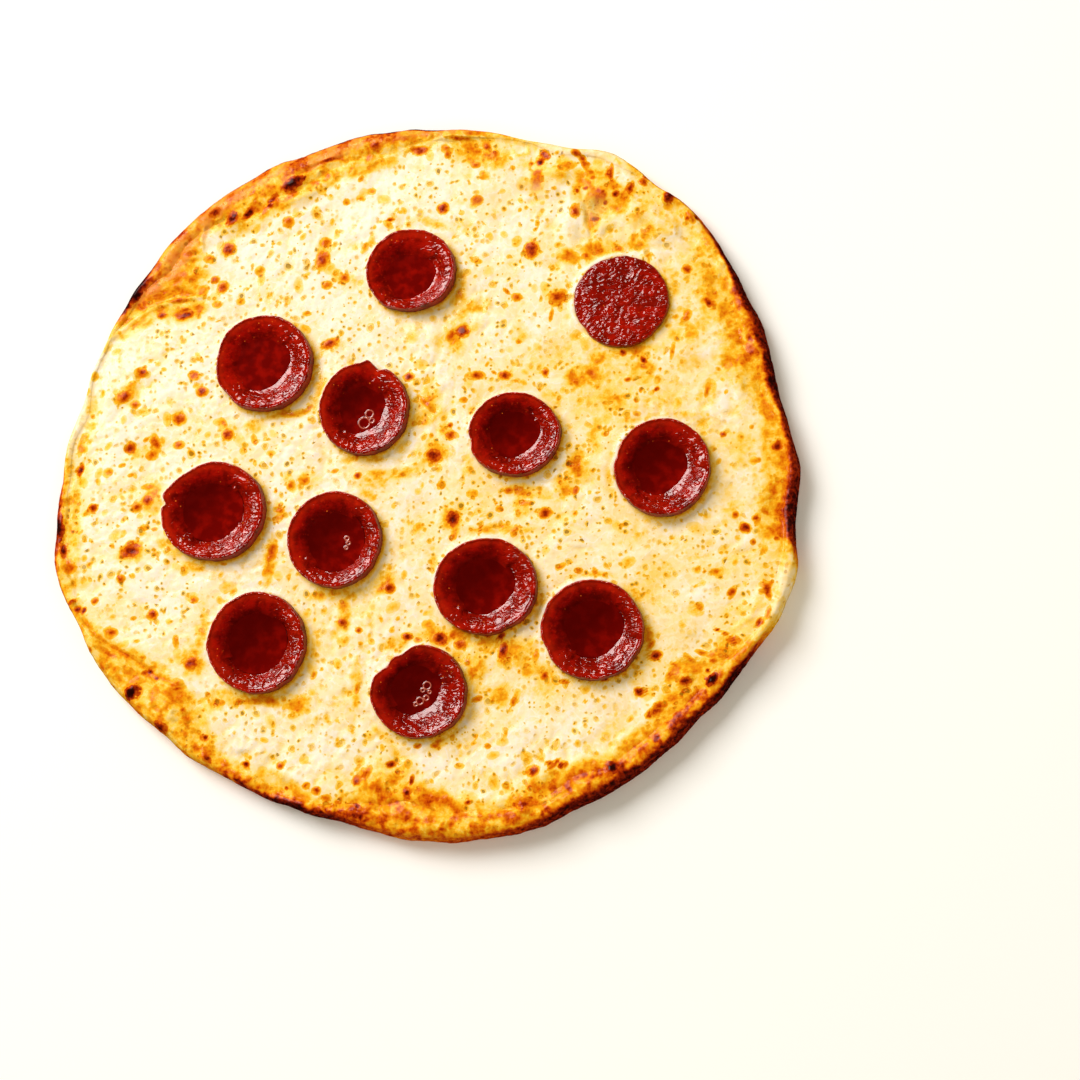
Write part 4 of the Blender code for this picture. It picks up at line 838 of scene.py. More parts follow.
SLICES = [
    SlicePlan(1, -4.0, 79.6, 16.6, 0.045, (-0.8, -1.6), 0.46, ((236, 12, -0.7, 0.6),), -0.5),
    SlicePlan(2, 77.5, 65.3, 17.8, 0.01, (0.0, 0.0), 0.0,
              ((215, 9, 0.8, 0.0), (318, 10, 0.7, 0.0)), 0.0),
    SlicePlan(3, -61.4, 44.1, 18.8, 0.01, (-1.0, 0.4), 0.46,
              ((175, 20, 0.7, 0.2), (222, 9, 0.7, 0.5)), -0.6),
    SlicePlan(4, -21.1, 25.0, 17.4, -0.02, (-1.3, 0.3), 0.43,
              ((71, 8, 1.9, 1.6), (86, 5, -0.9, -0.3)), 0.05,
              ((3.2, -2.0, 1.5), (1.2, -5.5, 2.1), (4.2, -4.6, 0.9))),
    SlicePlan(5, 37.3, 13.9, 16.6, 0.05, (-0.6, 0.8), 0.46, ((188, 8, 0.8, 0.5),), 0.2),
    SlicePlan(6, 93.4, 0.3, 18.0, -0.01, (-1.2, 0.6), 0.46, ((165, 8, 0.8, 0.4),), 0.2),
    SlicePlan(7, -79.3, -13.9, 19.6, 0.03, (-1.2, 0.5), 0.50,
              ((171, 4, 1.2, 1.0), (160, 6, -0.6, 0.0), (128, 20, 0.9, 0.3)), 0.0),
    SlicePlan(8, -31.3, -25.7, 18.1, -0.01, (-0.3, 0.0), 0.52, ((335, 12, 0.4, 0.4),), 0.2,
              ((5.0, 0.6, 0.8), (5.6, -1.2, 0.7), (4.8, -3.0, 0.6))),
    SlicePlan(9, 27.1, -44.2, 18.7, 0.035, (-0.9, 0.9), 0.48, ((300, 14, 0.6, 0.5),), 0.3),
    SlicePlan(10, 67.6, -60.7, 18.7, 0.01, (0.0, 1.1), 0.48, ((204, 10, 0.6, 0.4),), 0.35),
    SlicePlan(11, -60.2, -64.9, 18.9, -0.01, (-0.6, 0.6), 0.51,
              ((184, 7, -0.5, 0.2), (45, 10, 0.5, 0.4)), 0.3),
    SlicePlan(12, 2.6, -83.6, 17.6, 0.02, (-1.7, 1.2), 0.44,
              ((142, 14, 2.0, 2.2), (115, 14, 1.9, 1.6)), 0.5,
              ((3.0, -0.5, 0.7), (4.6, 1.2, 1.4), (2.0, -4.6, 1.3), (4.4, -3.4, 0.9),
               (0.4, -5.8, 0.7), (5.6, -1.2, 0.6))),
]

# The cup's sloping shelf: its slope, and how far it keeps facing one way round the cup.
SHELF_SLOPE = 0.30
SHELF_TURN = 0.35


def lattice_faces(rows: int, columns: int, closed: bool) -> np.ndarray:
    """Four-sided faces of a lattice of points stored row by row.

    Args:
        rows: number of rows.
        columns: number of columns.
        closed: whether the last column joins the first.

    Returns:
        Corner numbers, four to a face.
    """
    last = columns if closed else columns - 1
    row, column = np.meshgrid(np.arange(rows - 1), np.arange(last), indexing="ij")
    after = (column + 1) % columns
    corners = [row * columns + column, row * columns + after,
               (row + 1) * columns + after, (row + 1) * columns + column]
    return np.stack([corner.ravel() for corner in corners], axis=1)


def put_mesh(name: str, points: np.ndarray, faces: Faces,
             masks: dict[str, np.ndarray]) -> bpy.types.Object:
    """Make a smooth shaded object from points in mm and blocks of faces.

    Args:
        name: name of the object.
        points: one row of x, y, z for each vertex, in mm.
        faces: blocks of corner numbers, each block with one number of corners.
        masks: named values, one for each vertex.

    Returns:
        The new object, linked to the scene.
    """
    mesh = bpy.data.meshes.new(name)
    totals = np.concatenate([np.full(len(block), block.shape[1]) for block in faces])
    loops = np.concatenate([block.ravel() for block in faces])
    mesh.vertices.add(len(points))
    mesh.vertices.foreach_set("co", (points * MM).astype(np.float32).ravel())
    mesh.loops.add(len(loops))
    mesh.loops.foreach_set("vertex_index", loops.astype(np.int32))
    mesh.polygons.add(len(totals))
    starts = np.concatenate([[0], np.cumsum(totals)[:-1]])
    mesh.polygons.foreach_set("loop_start", starts.astype(np.int32))
    mesh.polygons.foreach_set("loop_total", totals.astype(np.int32))
    mesh.polygons.foreach_set("use_smooth", np.ones(len(totals), dtype=bool))
    mesh.update(calc_edges=True)
    mesh.validate()
    for mask, values in masks.items():
        layer = mesh.attributes.new(mask, "FLOAT", "POINT")
        layer.data.foreach_set("value", values.astype(np.float32).ravel())
    item = bpy.data.objects.new(name, mesh)
    bpy.context.collection.objects.link(item)
    return item


def close_rows(x: np.ndarray, y: np.ndarray, height: np.ndarray,
               tips: list[tuple[float, float, float]]) -> tuple[np.ndarray, Faces]:
    """Closed body of rows of points, each row a ring; the first and last row are left out.

    Args:
        x: places in mm, one row for each ring.
        y: places in mm.
        height: heights in mm.
        tips: the points whose fans close the first and the last ring.

    Returns:
        The points, row by row and then the tips, and the faces.
    """
    points = np.stack([x, y, height], axis=-1)[1:-1]
    rows, columns, _ = points.shape
    count = rows * columns
    first = np.arange(columns)
    last = count - columns + first
    low_fan = np.stack([np.roll(first, -1), first, np.full(columns, count)], axis=1)
    high_fan = np.stack([last, np.roll(last, -1), np.full(columns, count + 1)], axis=1)
    faces = [lattice_faces(rows, columns, True), low_fan, high_fan]
    return np.concatenate([points.reshape(-1, 3), tips]), faces


def close_mask(values: np.ndarray, low: float, high: float) -> np.ndarray:
    """Mask for the points of close_rows, with a value for each tip."""
    return np.concatenate([values[1:-1].ravel(), [low, high]])


def place(item: bpy.types.Object, material: bpy.types.Material, slot: str, *nodes: str) -> None:
    """Dress a piece and hand it over to the frame.

    Args:
        item: the piece.
        material: its finish.
        slot: the record's slot for that finish; not used.
        nodes: the solids that it stands for.
    """
    item.data.materials.append(material)
    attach(item, "root")
    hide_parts(*nodes)
    mesh = item.data
    LOG.info("%s: %d vertices, %d faces", item.name, len(mesh.vertices), len(mesh.polygons))


def through_rows(rows: np.ndarray, places: np.ndarray) -> np.ndarray:
    """Smooth curve through rows of values, by cubic pieces with central slopes.

    Args:
        rows: values at whole-numbered places along the first axis.
        places: where to read, from 0 to the number of rows less one.

    Returns:
        One row for each place.
    """
    slope = np.gradient(rows, axis=0)
    left = np.clip(np.floor(places).astype(int), 0, len(rows) - 2)
    shape = (-1,) + (1,) * (rows.ndim - 1)
    share = (places - left).reshape(shape)
    return cubic_piece(share, rows[left], rows[left + 1], slope[left], slope[left + 1])


def on_plane(direction: float, radius: float) -> tuple[float, float]:
    """The x and y of a place given by direction in degrees and radius."""
    turn = math.radians(direction)
    return radius * math.cos(turn), radius * math.sin(turn)


def polar_spots(spots: list[Spot]) -> list[Spot]:
    """Spots given by direction and radius, as spots given by x and y."""
    return [(*on_plane(direction, radius), along, across, direction + 90.0 + tilt, toast)
            for direction, radius, along, across, tilt, toast in spots]


def ring_field(x: np.ndarray, y: np.ndarray) -> tuple[np.ndarray, np.ndarray, np.ndarray]:
    """Raised rings and folds: bells across their lines.

    Args:
        x: places in mm.
        y: places in mm.

    Returns:
        Height in mm, share of the line's own toast, and that toast.
    """
    rise = np.zeros_like(x)
    share = np.zeros_like(x)
    toast = np.zeros_like(x)

    def lay(away: np.ndarray, width: float, height: float, tone: float) -> None:
        """Lay one line over the last.

        Args:
            away: distance from the line in mm.
            width: half width of its bell in mm.
            height: its rise in mm.
            tone: its toast.
        """
        line_share = bell(away, width)
        rise[...] += height * line_share
        toast[...] = np.where(line_share > share, tone, toast)
        share[...] = np.maximum(share, line_share)

    warp_x = x + 1.5 * BAKE.noise.layers(x + 5.0, y, 5.0, 2)
    warp_y = y + 1.5 * BAKE.noise.layers(x, y + 55.0, 5.0, 2)
    broken = 0.25 + 0.75 * step_up(BAKE.noise.smooth(x / 4.0, y / 4.0), -0.25, 0.25)
    for direction, radius, size, width, height, tone in RINGS:
        middle_x, middle_y = on_plane(direction, radius)
        away = np.hypot(warp_x - middle_x, (warp_y - middle_y) * 1.15) - size
        lay(away, width, height, tone)
    rise *= broken
    share *= broken
    for width, height, tone, points in FOLDS:
        line = np.array([on_plane(*point) for point in points])
        nearest = np.full_like(x, 99.0)
        for start, end in zip(line, line[1:]):
            step = end - start
            along = ((x - start[0]) * step[0] + (y - start[1]) * step[1]) / (step @ step)
            along = np.clip(along, 0.0, 1.0)
            reach = np.hypot(x - start[0] - along * step[0], y - start[1] - along * step[1])
            nearest = np.minimum(nearest, reach)
        lay(nearest, width, height, tone)
    return rise, share, toast


def near_spot(x: np.ndarray, y: np.ndarray, spot: Spot, edge: float) -> np.ndarray:
    """Whether each place is near enough to a spot for it to matter."""
    return np.abs(x - spot[0]) + np.abs(y - spot[1]) < 1.6 * edge * max(spot[2], spot[3])


def spot_distance(x: np.ndarray, y: np.ndarray, spot: Spot) -> np.ndarray:
    """Distance from a slanting oval's middle, 1 on the oval.

    Args:
        x: places in mm.
        y: places in mm.
        spot: (x, y, half length, half width, direction of the length, anything).

    Returns:
        The distance at each place.
    """
    middle_x, middle_y, length, width, direction, _ = spot
    turn = math.radians(direction)
    off_x = x - middle_x
    off_y = y - middle_y
    along = (off_x * math.cos(turn) + off_y * math.sin(turn)) / length
    across = (off_y * math.cos(turn) - off_x * math.sin(turn)) / width
    return np.hypot(along, across)


def spot_field(x: np.ndarray, y: np.ndarray, spots: list[Spot], warp: np.ndarray,
               edge: float = 1.5) -> np.ndarray:
    """Greatest of many spots, each fading smoothly from its strength to nothing at its edge.

    Args:
        x: places in mm.
        y: places in mm.
        spots: (x, y, half length, half width, direction, strength).
        warp: ragged offset added to the distance.
        edge: distance in half widths at which a spot has faded.

    Returns:
        Strength from 0 to 1.
    """
    field = np.zeros_like(x)
    for spot in spots:
        near = near_spot(x, y, spot, edge)
        away = spot_distance(x[near], y[near], spot) + warp[near]
        field[near] = np.maximum(field[near], spot[5] * (1.0 - step_up(away, 0.25, edge)))
    return field


def blister_field(x: np.ndarray, y: np.ndarray, spots: list[Spot],
                  warp: np.ndarray) -> tuple[np.ndarray, np.ndarray]:
    """Crisp spots as two smooth fields, so that the finish can draw their outlines sharply.

    Args:
        x: places in mm.
        y: places in mm.
        spots: (x, y, half length, half width, direction, toast).
        warp: ragged offset added to the distance.

    Returns:
        Two less the distance from the strongest spot's middle in half widths, and its toast.
    """
    blister = np.zeros_like(x)
    scorch = np.zeros_like(x)
    best = np.zeros_like(x)
    for spot in spots:
        near = near_spot(x, y, spot, 2.0)
        away = spot_distance(x[near], y[near], spot) + warp[near]
        inside = np.clip(2.0 - away, 0.0, 2.0)
        level = spot[5] * step_up(inside, 0.1, 1.1) + 0.05 * inside
        stronger = level > best[near]
        for field, values in ((best, level), (blister, inside), (scorch, spot[5])):
            field[near] = np.where(stronger, values, field[near])
    return blister, scorch


def scatter(seed: int, count: int, reach: tuple[float, float],
            heat: tuple[float, float]) -> list[Spot]:
    """Seeded small spots spread evenly over the round.

    Args:
        seed: chooses the places.
        count: number of spots.
        reach: smallest and largest half width in mm.
        heat: smallest and largest heat.

    Returns:
        Spots as (x, y, half length, half width, direction, heat).
    """
    chance = np.random.default_rng(seed)
    radius = 140.0 * np.sqrt(chance.random(count))
    turn = FULL_TURN * chance.random(count)
    size = reach[0] + (reach[1] - reach[0]) * chance.random(count) ** 2
    longer = size * chance.uniform(1.0, 1.7, count)
    strength = chance.uniform(heat[0], heat[1], count)
    direction = chance.uniform(0.0, 180.0, count)
    columns = [radius * np.cos(turn), radius * np.sin(turn), longer, size, direction, strength]
    return np.stack(columns, axis=1).tolist()


def make_lumps() -> np.ndarray:
    """Seeded soft lumps of the melted cheese, as in the solid.

    Returns:
        One row for each: x, y, reach and rise in mm.
    """
    chance = np.random.default_rng(LUMP_SEED)
    radius = LUMP_RANGE * np.sqrt(chance.random(LUMP_COUNT))
    turn = FULL_TURN * chance.random(LUMP_COUNT)
    reach = chance.uniform(*LUMP_REACH, LUMP_COUNT)
    rise = chance.uniform(*LUMP_RISE, LUMP_COUNT)
    return np.stack([radius * np.cos(turn), radius * np.sin(turn), reach, rise], axis=1)


def melted_height(x: np.ndarray, y: np.ndarray) -> np.ndarray:
    """Height of the cheese without its fine relief: a level, soft lumps and bubbles.

    Args:
        x: places in mm.
        y: places in mm.

    Returns:
        Height in mm.
    """
    height = np.full_like(x, CHEESE_LEVEL)
    for lump_x, lump_y, reach, rise in make_lumps():
        height += rise * np.exp(-((x - lump_x) ** 2 + (y - lump_y) ** 2) / reach ** 2)
    for puff in CHEESE_PUFFS:
        height += puff.rise * puff.bell(x, y)
    return height


def mound_field(x: np.ndarray, y: np.ndarray, noise: Noise) -> tuple[np.ndarray, np.ndarray]:
    """Large bubbles and hollows, each a flat-topped dome with a crisp foot.

    Args:
        x: places in mm.
        y: places in mm.
        noise: pattern that bends their outlines.

    Returns:
        Height in mm, and how smooth the place is from 0 to 1.
    """
    height = np.zeros_like(x)
    smooth = np.zeros_like(x)
    warp_x = x + 1.2 * noise.layers(x + 80.0, y, 6.0, 2)
    warp_y = y + 1.2 * noise.layers(x, y - 80.0, 6.0, 2)
    for mound in MOUNDS:
        dome = 1.0 - step_up(spot_distance(warp_x, warp_y, mound), 0.15, 1.25)
        height += mound[5] * dome
        smooth = np.maximum(smooth, dome)
    return height, smooth


@dataclass(frozen=True)
class Bake:
    """What the oven did: one field of toast for crust and cheese alike.

    Attributes:
        noise: pattern of the browning.
    """

    noise: Noise = Noise(5)

    def relief(self, x: np.ndarray, y: np.ndarray) -> np.ndarray:
        """Fine relief of the cheese: curds, melted folds and small lumps.

        Args:
            x: places in mm.
            y: places in mm.

        Returns:
            Height in mm to add to the melted surface.
        """
        swirl_x = x + 2.4 * self.noise.layers(x, y, 11.0, 2)
        swirl_y = y + 2.4 * self.noise.layers(x + 70.0, y - 40.0, 11.0, 2)
        curd = self.noise.cells(swirl_x, swirl_y, 6.0)
        small = self.noise.cells(swirl_x + 31.0, swirl_y - 17.0, 3.0)
        rough = step_up(self.noise.layers(x - 200.0, y + 90.0, 45.0, 2), -0.25, 0.3)
        rough = np.maximum(rough, step_up(-y, 85.0, 105.0))
        rough = np.maximum(rough, bell(x - 80.0, 32.0) * bell(y - 97.0, 22.0))
        bumps = (0.34 + 0.50 * rough) * (0.5 - curd ** 2)
        bumps += (0.16 + 0.30 * rough) * (0.42 - small ** 2)
        drawn_x = swirl_x * 0.8 + swirl_y * 0.6
        drawn_y = swirl_y * 0.8 - swirl_x * 0.6
        strands = self.noise.folds(drawn_x, drawn_y, 4.6, 2) - 0.62
        lively = 0.55 + 0.45 * np.maximum(rough, step_up(-x - y, 40.0, 110.0))
        fine = lively * (bumps + 0.40 * strands + 0.10 * self.noise.layers(x, y, 2.4, 1))
        mounds, smooth = mound_field(x, y, self.noise)
        return fine * (1.0 - 0.7 * smooth) + mounds

    def toast(self, x: np.ndarray, y: np.ndarray, edge: np.ndarray) -> np.ndarray:
        """How far each place on top is baked.

        Args:
            x: places in mm.
            y: places in mm.
            edge: radius of the dough's outer edge in each place's direction, in mm.

        Returns:
            Toast from 0, pale, through 0.5, orange, to 1, burnt.
        """
        degrees = np.degrees(np.arctan2(y, x))
        radius = np.hypot(x, y)
        fine = self.noise.layers(x + 400.0, y, 5.0, 3)
        wide = self.noise.layers(x - 33.0, y + 12.0, 16.0, 3)

        tone = closed_curve(CHEESE_TONE, degrees)
        tone = tone + bell(radius, 45.0) * (0.12 - tone)
        # Yellower in the hollows: partly oil standing there, partly painted shade.
        hollow = np.clip(0.42 - 0.85 * self.relief(x, y), 0.0, 1.0)
        cheese = tone * (0.35 + 0.7 * hollow + np.clip(wide, -0.5, 1.0)) + 0.10 * hollow ** 2
        cheese += 0.24 * step_up(fine, 0.15, 0.6) * step_up(hollow, 0.25, 0.7)
        pale = spot_field(x, y, PALE, 0.4 * self.noise.layers(x, y + 9.0, 7.0, 3))
        cheese = cheese * (1.0 - 0.75 * pale)
        marble = step_up(self.noise.layers(x + 140.0, y + 60.0, 5.5, 3), -0.22, 0.30)
        golden = spot_field(x, y, GOLDEN, 0.5 * self.noise.layers(x + 9.0, y, 9.0, 3))
        cheese = np.maximum(cheese, golden * (0.50 + 0.68 * marble))

        seam = closed_curve(COLOUR_SEAM, degrees) + 1.6 * self.noise.layers(x, y, 6.0, 3)
        crust = closed_curve(TOP_TOAST, degrees)
        crust = crust * (0.60 + 0.58 * marble + 0.10 * fine + 0.25 * wide)
        toast = cheese + (crust - cheese) * step_up(radius - seam, -4.5, 2.5)

        reach = closed_curve(TOAST_REACH, degrees) * (1.0 + 0.5 * self.noise.layers(x, y, 6.0, 3))
        depth = (edge - radius) / np.maximum(reach, 0.4)
        toast = toast * (1.0 + 0.20 * (1.0 - step_up(depth, 0.8, 3.5)))
        near = 1.0 - step_up(depth, 0.45, 1.15)
        side = closed_curve(EDGE_TOAST, degrees)
        toast = toast + np.maximum(side - toast, 0.0) * near
        _, share, own = ring_field(x, y)
        toast = toast + (own - toast) * share * 0.6
        broad = 0.5 * self.noise.layers(x, y, 5.0, 3)
        patches = spot_field(x, y, polar_spots(RIM_PATCHES), broad, 1.6)
        return np.clip(np.maximum(toast, patches * (0.62 + 0.45 * marble)), 0.0, 1.0)

    def blisters(self, x: np.ndarray, y: np.ndarray) -> tuple[np.ndarray, np.ndarray]:
        """Crisp spots of cheese and rim, named ones and seeded ones.

        Args:
            x: places in mm.
            y: places in mm.

        Returns:
            The two fields of blister_field.
        """
        ragged = 0.26 * self.noise.layers(x, y, 2.6, 2)
        spots = polar_spots(RIM_SPOTS) + [(*spot[:5], 0.90 * spot[5]) for spot in SPOTS]
        spots += scatter(4, 330, (0.9, 1.8), (0.20, 0.36))
        spots += scatter(3, 340, (0.55, 0.9), (0.28, 0.54))
        return blister_field(x, y, spots, ragged)


BAKE = Bake()

# ---- shader pieces --------------------------------------------------------------------------
class Shader:
    """Short ways to add and join nodes in one node tree."""

    def __init__(self, tree: bpy.types.NodeTree) -> None:
        """Keep the tree that the nodes go into."""
        self.tree = tree

    def node(self, kind: str, sockets: dict[int | str, object] | None = None,
             **settings: object) -> bpy.types.Node:
        """Add a node, set its properties and feed its sockets.

        Args:
            kind: the node's type name.
            sockets: what goes into each socket.
            settings: property names and values.

        Returns:
            The new node.
        """
        made = self.tree.nodes.new(kind)
        for name, value in settings.items():
            setattr(made, name, value)
        for socket, value in (sockets or {}).items():
            self.feed(made, socket, value)
        return made

    def feed(self, node: bpy.types.Node, socket: int | str, value: object) -> None:
        """Join an output to a socket, or set the socket's own value.

        Args:
            node: the node with the socket.
            socket: the socket's name or number.
            value: an output or a constant.
        """
        if isinstance(value, bpy.types.NodeSocket):
            self.tree.links.new(value, node.inputs[socket])
        else:
            node.inputs[socket].default_value = value

    def maths(self, what: str, *values: object) -> bpy.types.NodeSocket:
        """Result of one sum on one, two or three values."""
        return self.node("ShaderNodeMath", dict(enumerate(values)), operation=what).outputs[0]

    def times(self, first: object, second: object) -> bpy.types.NodeSocket:
        """Product of two values."""
        return self.maths("MULTIPLY", first, second)

    def plus(self, first: object, second: object) -> bpy.types.NodeSocket:
        """Sum of two values."""
        return self.maths("ADD", first, second)

    def less(self, first: object, second: object) -> bpy.types.NodeSocket:
        """First value less the second."""
        return self.maths("SUBTRACT", first, second)

    def most(self, first: object, second: object) -> bpy.types.NodeSocket:
        """Greater of two values."""
        return self.maths("MAXIMUM", first, second)

    def cloud(self, spot: object, scale: float, detail: float,
              rough: float = 0.5) -> bpy.types.Node:
        """Smooth noise, read at a place."""
        sockets = {"Vector": spot, "Scale": scale, "Detail": detail, "Roughness": rough}
        return self.node("ShaderNodeTexNoise", sockets)

    def noise(self, spot: object, scale: float, detail: float,
              rough: float = 0.5) -> bpy.types.NodeSocket:
        """Smooth noise from 0 to 1 at a place."""
        return self.cloud(spot, scale, detail, rough).outputs["Fac"]

    def warp(self, moved: object, spot: object, scale: float, detail: float,
             reach: float) -> bpy.types.NodeSocket:
        """Place shifted in X and Y by the colours of smooth noise.

        Args:
            moved: the place that is shifted.
            spot: where the noise is read.
            scale: how fine the noise is.
            detail: how many finer layers it has.
            reach: how far it shifts, in metres.

        Returns:
            The shifted place.
        """
        colour = self.cloud(spot, scale, detail).outputs["Color"]
        sockets = {0: colour, 1: (reach, reach, 0.0), 2: moved}
        return self.node("ShaderNodeVectorMath", sockets, operation="MULTIPLY_ADD").outputs[0]

    def split(self, colour: object) -> bpy.types.Node:
        """Red, green and blue of a colour."""
        return self.node("ShaderNodeSeparateColor", {0: colour})

    def dots(self, spot: object, scale: float, edge: float) -> bpy.types.NodeSocket:
        """Scattered round dots; about a third of the cells have none.

        Args:
            spot: where they are read.
            scale: how fine they are.
            edge: size of the largest.

        Returns:
            1 in a dot, 0 outside.
        """
        cells = self.node("ShaderNodeTexVoronoi", {"Vector": spot, "Scale": scale}, feature="F1")
        size = self.times(self.less(self.split(cells.outputs["Color"]).outputs[0], 0.35), edge)
        return self.fit(self.less(size, cells.outputs["Distance"]), 0.0, 0.05)

    def fit(self, value: object, low: float, high: float, to_low: float = 0.0,
            to_high: float = 1.0) -> bpy.types.NodeSocket:
        """Value moved smoothly from one range to another and held there.

        Args:
            value: what is moved.
            low: start of the first range.
            high: end of the first range.
            to_low: start of the second range.
            to_high: end of the second range.

        Returns:
            The moved value.
        """
        sockets = dict(enumerate((value, low, high, to_low, to_high)))
        made = self.node("ShaderNodeMapRange", sockets, interpolation_type="SMOOTHSTEP")
        return made.outputs["Result"]

    def blend(self, share: object, first: object, second: object) -> bpy.types.NodeSocket:
        """Mix of two colours.

        Args:
            share: how much of the second shows.
            first: colour or output at 0.
            second: colour or output at 1.

        Returns:
            The mixed colour.
        """
        sockets = {0: share}
        for socket, value in ((6, first), (7, second)):
            sockets[socket] = (*value, 1.0) if isinstance(value, tuple) else value
        made = self.node("ShaderNodeMix", sockets, data_type="RGBA", clamp_factor=True)
        return made.outputs[2]

    def ramp(self, value: object, stops: list[tuple[float, Colour]]) -> bpy.types.NodeSocket:
        """Colour read off a row of stops.

        Args:
            value: where it is read, from 0 to 1.
            stops: (place, colour) in rising order.

        Returns:
            The colour.
        """
        made = self.node("ShaderNodeValToRGB", {0: value})
        made.color_ramp.interpolation = "EASE"
        while len(made.color_ramp.elements) < len(stops):
            made.color_ramp.elements.new(0.5)
        for element, (at, colour) in zip(made.color_ramp.elements, stops):
            element.position = at
            element.color = (*colour, 1.0)
        return made.outputs["Color"]

    def mask(self, name: str) -> bpy.types.NodeSocket:
        """Value kept on the mesh under a name."""
        return self.node("ShaderNodeAttribute", attribute_name=name).outputs["Fac"]

    def place(self) -> bpy.types.NodeSocket:
        """Place on the object."""
        return self.node("ShaderNodeTexCoord").outputs["Object"]

    def bump(self, height: object, distance: float, strength: float,
             under: object = None) -> bpy.types.NodeSocket:
        """Normal that follows a fine height.

        Args:
            height: the height, in shares of distance.
            distance: height in metres for a value of 1.
            strength: how strongly it shows.
            under: a normal that it adds to.

        Returns:
            The normal.
        """
        sockets = {"Height": height, "Distance": distance, "Strength": strength}
        if under is not None:
            sockets["Normal"] = under
        return self.node("ShaderNodeBump", sockets).outputs[0]


def make_group(name: str, inputs: dict[str, str], outputs: dict[str, str]) -> tuple:
    """Empty node group with named inputs and outputs.

    Args:
        name: the group's name.
        inputs: name and socket type of each input.
        outputs: name and socket type of each output.

    Returns:
        The group, a Shader on it, its input node and its output node.
    """
    group = bpy.data.node_groups.new(name, "ShaderNodeTree")
    for title, kind in inputs.items():
        group.interface.new_socket(title, in_out="INPUT", socket_type=kind)
    for title, kind in outputs.items():
        group.interface.new_socket(title, in_out="OUTPUT", socket_type=kind)
    shader = Shader(group)
    return group, shader, shader.node("NodeGroupInput"), shader.node("NodeGroupOutput")


def browning_group() -> bpy.types.NodeTree:
    """Oven colours shared by crust and cheese: cream, yellow, orange, brown, red-brown, black.

    Returns:
        A group that gives the colour of a toast from 0 to 1.
    """
    group, shader, inner, outer = make_group(
        "browning",
        {"Heat": "NodeSocketFloat", "Grain": "NodeSocketFloat"},
        {"Colour": "NodeSocketColor"},
    )
    spot = shader.place()
    uneven = shader.less(shader.noise(spot, 560.0, 4.0, 0.66), 0.5)
    push = shader.times(uneven, inner.outputs["Grain"])
    within = shader.times(push, shader.fit(inner.outputs["Heat"], 0.02, 0.42, 0.22, 1.0))
    heat = shader.plus(inner.outputs["Heat"], within)
    baked = shader.ramp(heat, [
        (0.00, (0.95, 0.83, 0.67)), (0.06, (0.95, 0.77, 0.47)), (0.12, (0.94, 0.70, 0.32)),
        (0.18, (0.93, 0.635, 0.17)), (0.25, (0.93, 0.56, 0.070)), (0.32, (0.90, 0.46, 0.020)),
        (0.39, (0.84, 0.35, 0.006)), (0.46, (0.78, 0.27, 0.005)), (0.53, (0.73, 0.19, 0.002)),
        (0.60, (0.64, 0.120, 0.001)), (0.67, (0.53, 0.068, 0.001)), (0.74, (0.38, 0.030, 0.001)),
        (0.81, (0.24, 0.014, 0.001)), (0.88, (0.12, 0.005, 0.001)), (0.94, (0.05, 0.003, 0.001)),
        (1.00, (0.020, 0.002, 0.001)),
    ])
    shader.feed(outer, "Colour", baked)
    return group


def pore_group() -> bpy.types.NodeTree:
    """Irregular pits shared by crust, cheese and meat.

    Returns:
        A group that gives a mask of holes, a mask of the halo round them and a height for bump.
    """
    group, shader, inner, outer = make_group(
        "pores",
        {"Scale": "NodeSocketFloat", "Gain": "NodeSocketFloat", "Less": "NodeSocketFloat"},
        {"Holes": "NodeSocketFloat", "Halo": "NodeSocketFloat", "Height": "NodeSocketFloat",
         "Tint": "NodeSocketFloat"},
    )
    spot = shader.place()
    bent = shader.warp(spot, spot, 700.0, 3.0, 0.0007)
    bent = shader.warp(bent, spot, 170.0, 0.0, 0.0020)
    cells = shader.node("ShaderNodeTexVoronoi", {"Vector": bent, "Scale": inner.outputs["Scale"]},
                        feature="F1", voronoi_dimensions="2D")
    chance = shader.split(cells.outputs["Color"])
    reach = shader.times(chance.outputs[0], inner.outputs["Gain"])
    reach = shader.less(reach, inner.outputs["Less"])
    holes = shader.fit(shader.less(reach, cells.outputs["Distance"]), -0.01, 0.05)
    wider = shader.less(shader.times(reach, 1.9), cells.outputs["Distance"])
    halo = shader.fit(wider, -0.03, 0.10)
    shader.feed(outer, "Holes", holes)
    shader.feed(outer, "Halo", halo)
    shader.feed(outer, "Height", shader.less(0.0, holes))
    shader.feed(outer, "Tint", chance.outputs[1])
    return group


@dataclass(frozen=True)
class Finish:
    """A finish with a Principled shader.

    Attributes:
        name: the material's name.
        roughness: how matt it is.
        shine: how strongly it reflects.
        coat: strength of the clear oily coat.
        glow: share of light that goes under the surface.
        depth: how far it goes, in mm for red, green and blue.
    """

    name: str
    roughness: float
    shine: float = 0.5
    coat: float = 0.0
    glow: float = 0.0
    depth: Colour = (1.0, 0.5, 0.25)

    def start(self) -> tuple[bpy.types.Material, Shader, bpy.types.Node]:
        """Make the material with its fixed values.

        Returns:
            The material, a Shader on its tree and the Principled node.
        """
        material = bpy.data.materials.new(self.name)
        material.use_nodes = True
        principled = material.node_tree.nodes["Principled BSDF"]
        constants = {
            "Roughness": self.roughness, "Specular IOR Level": self.shine,
            "Coat Weight": self.coat, "Coat Roughness": 0.06, "Subsurface Weight": self.glow,
            "Subsurface Radius": self.depth, "Subsurface Scale": MM,
        }
        for socket, value in constants.items():
            principled.inputs[socket].default_value = value
        return material, Shader(material.node_tree), principled


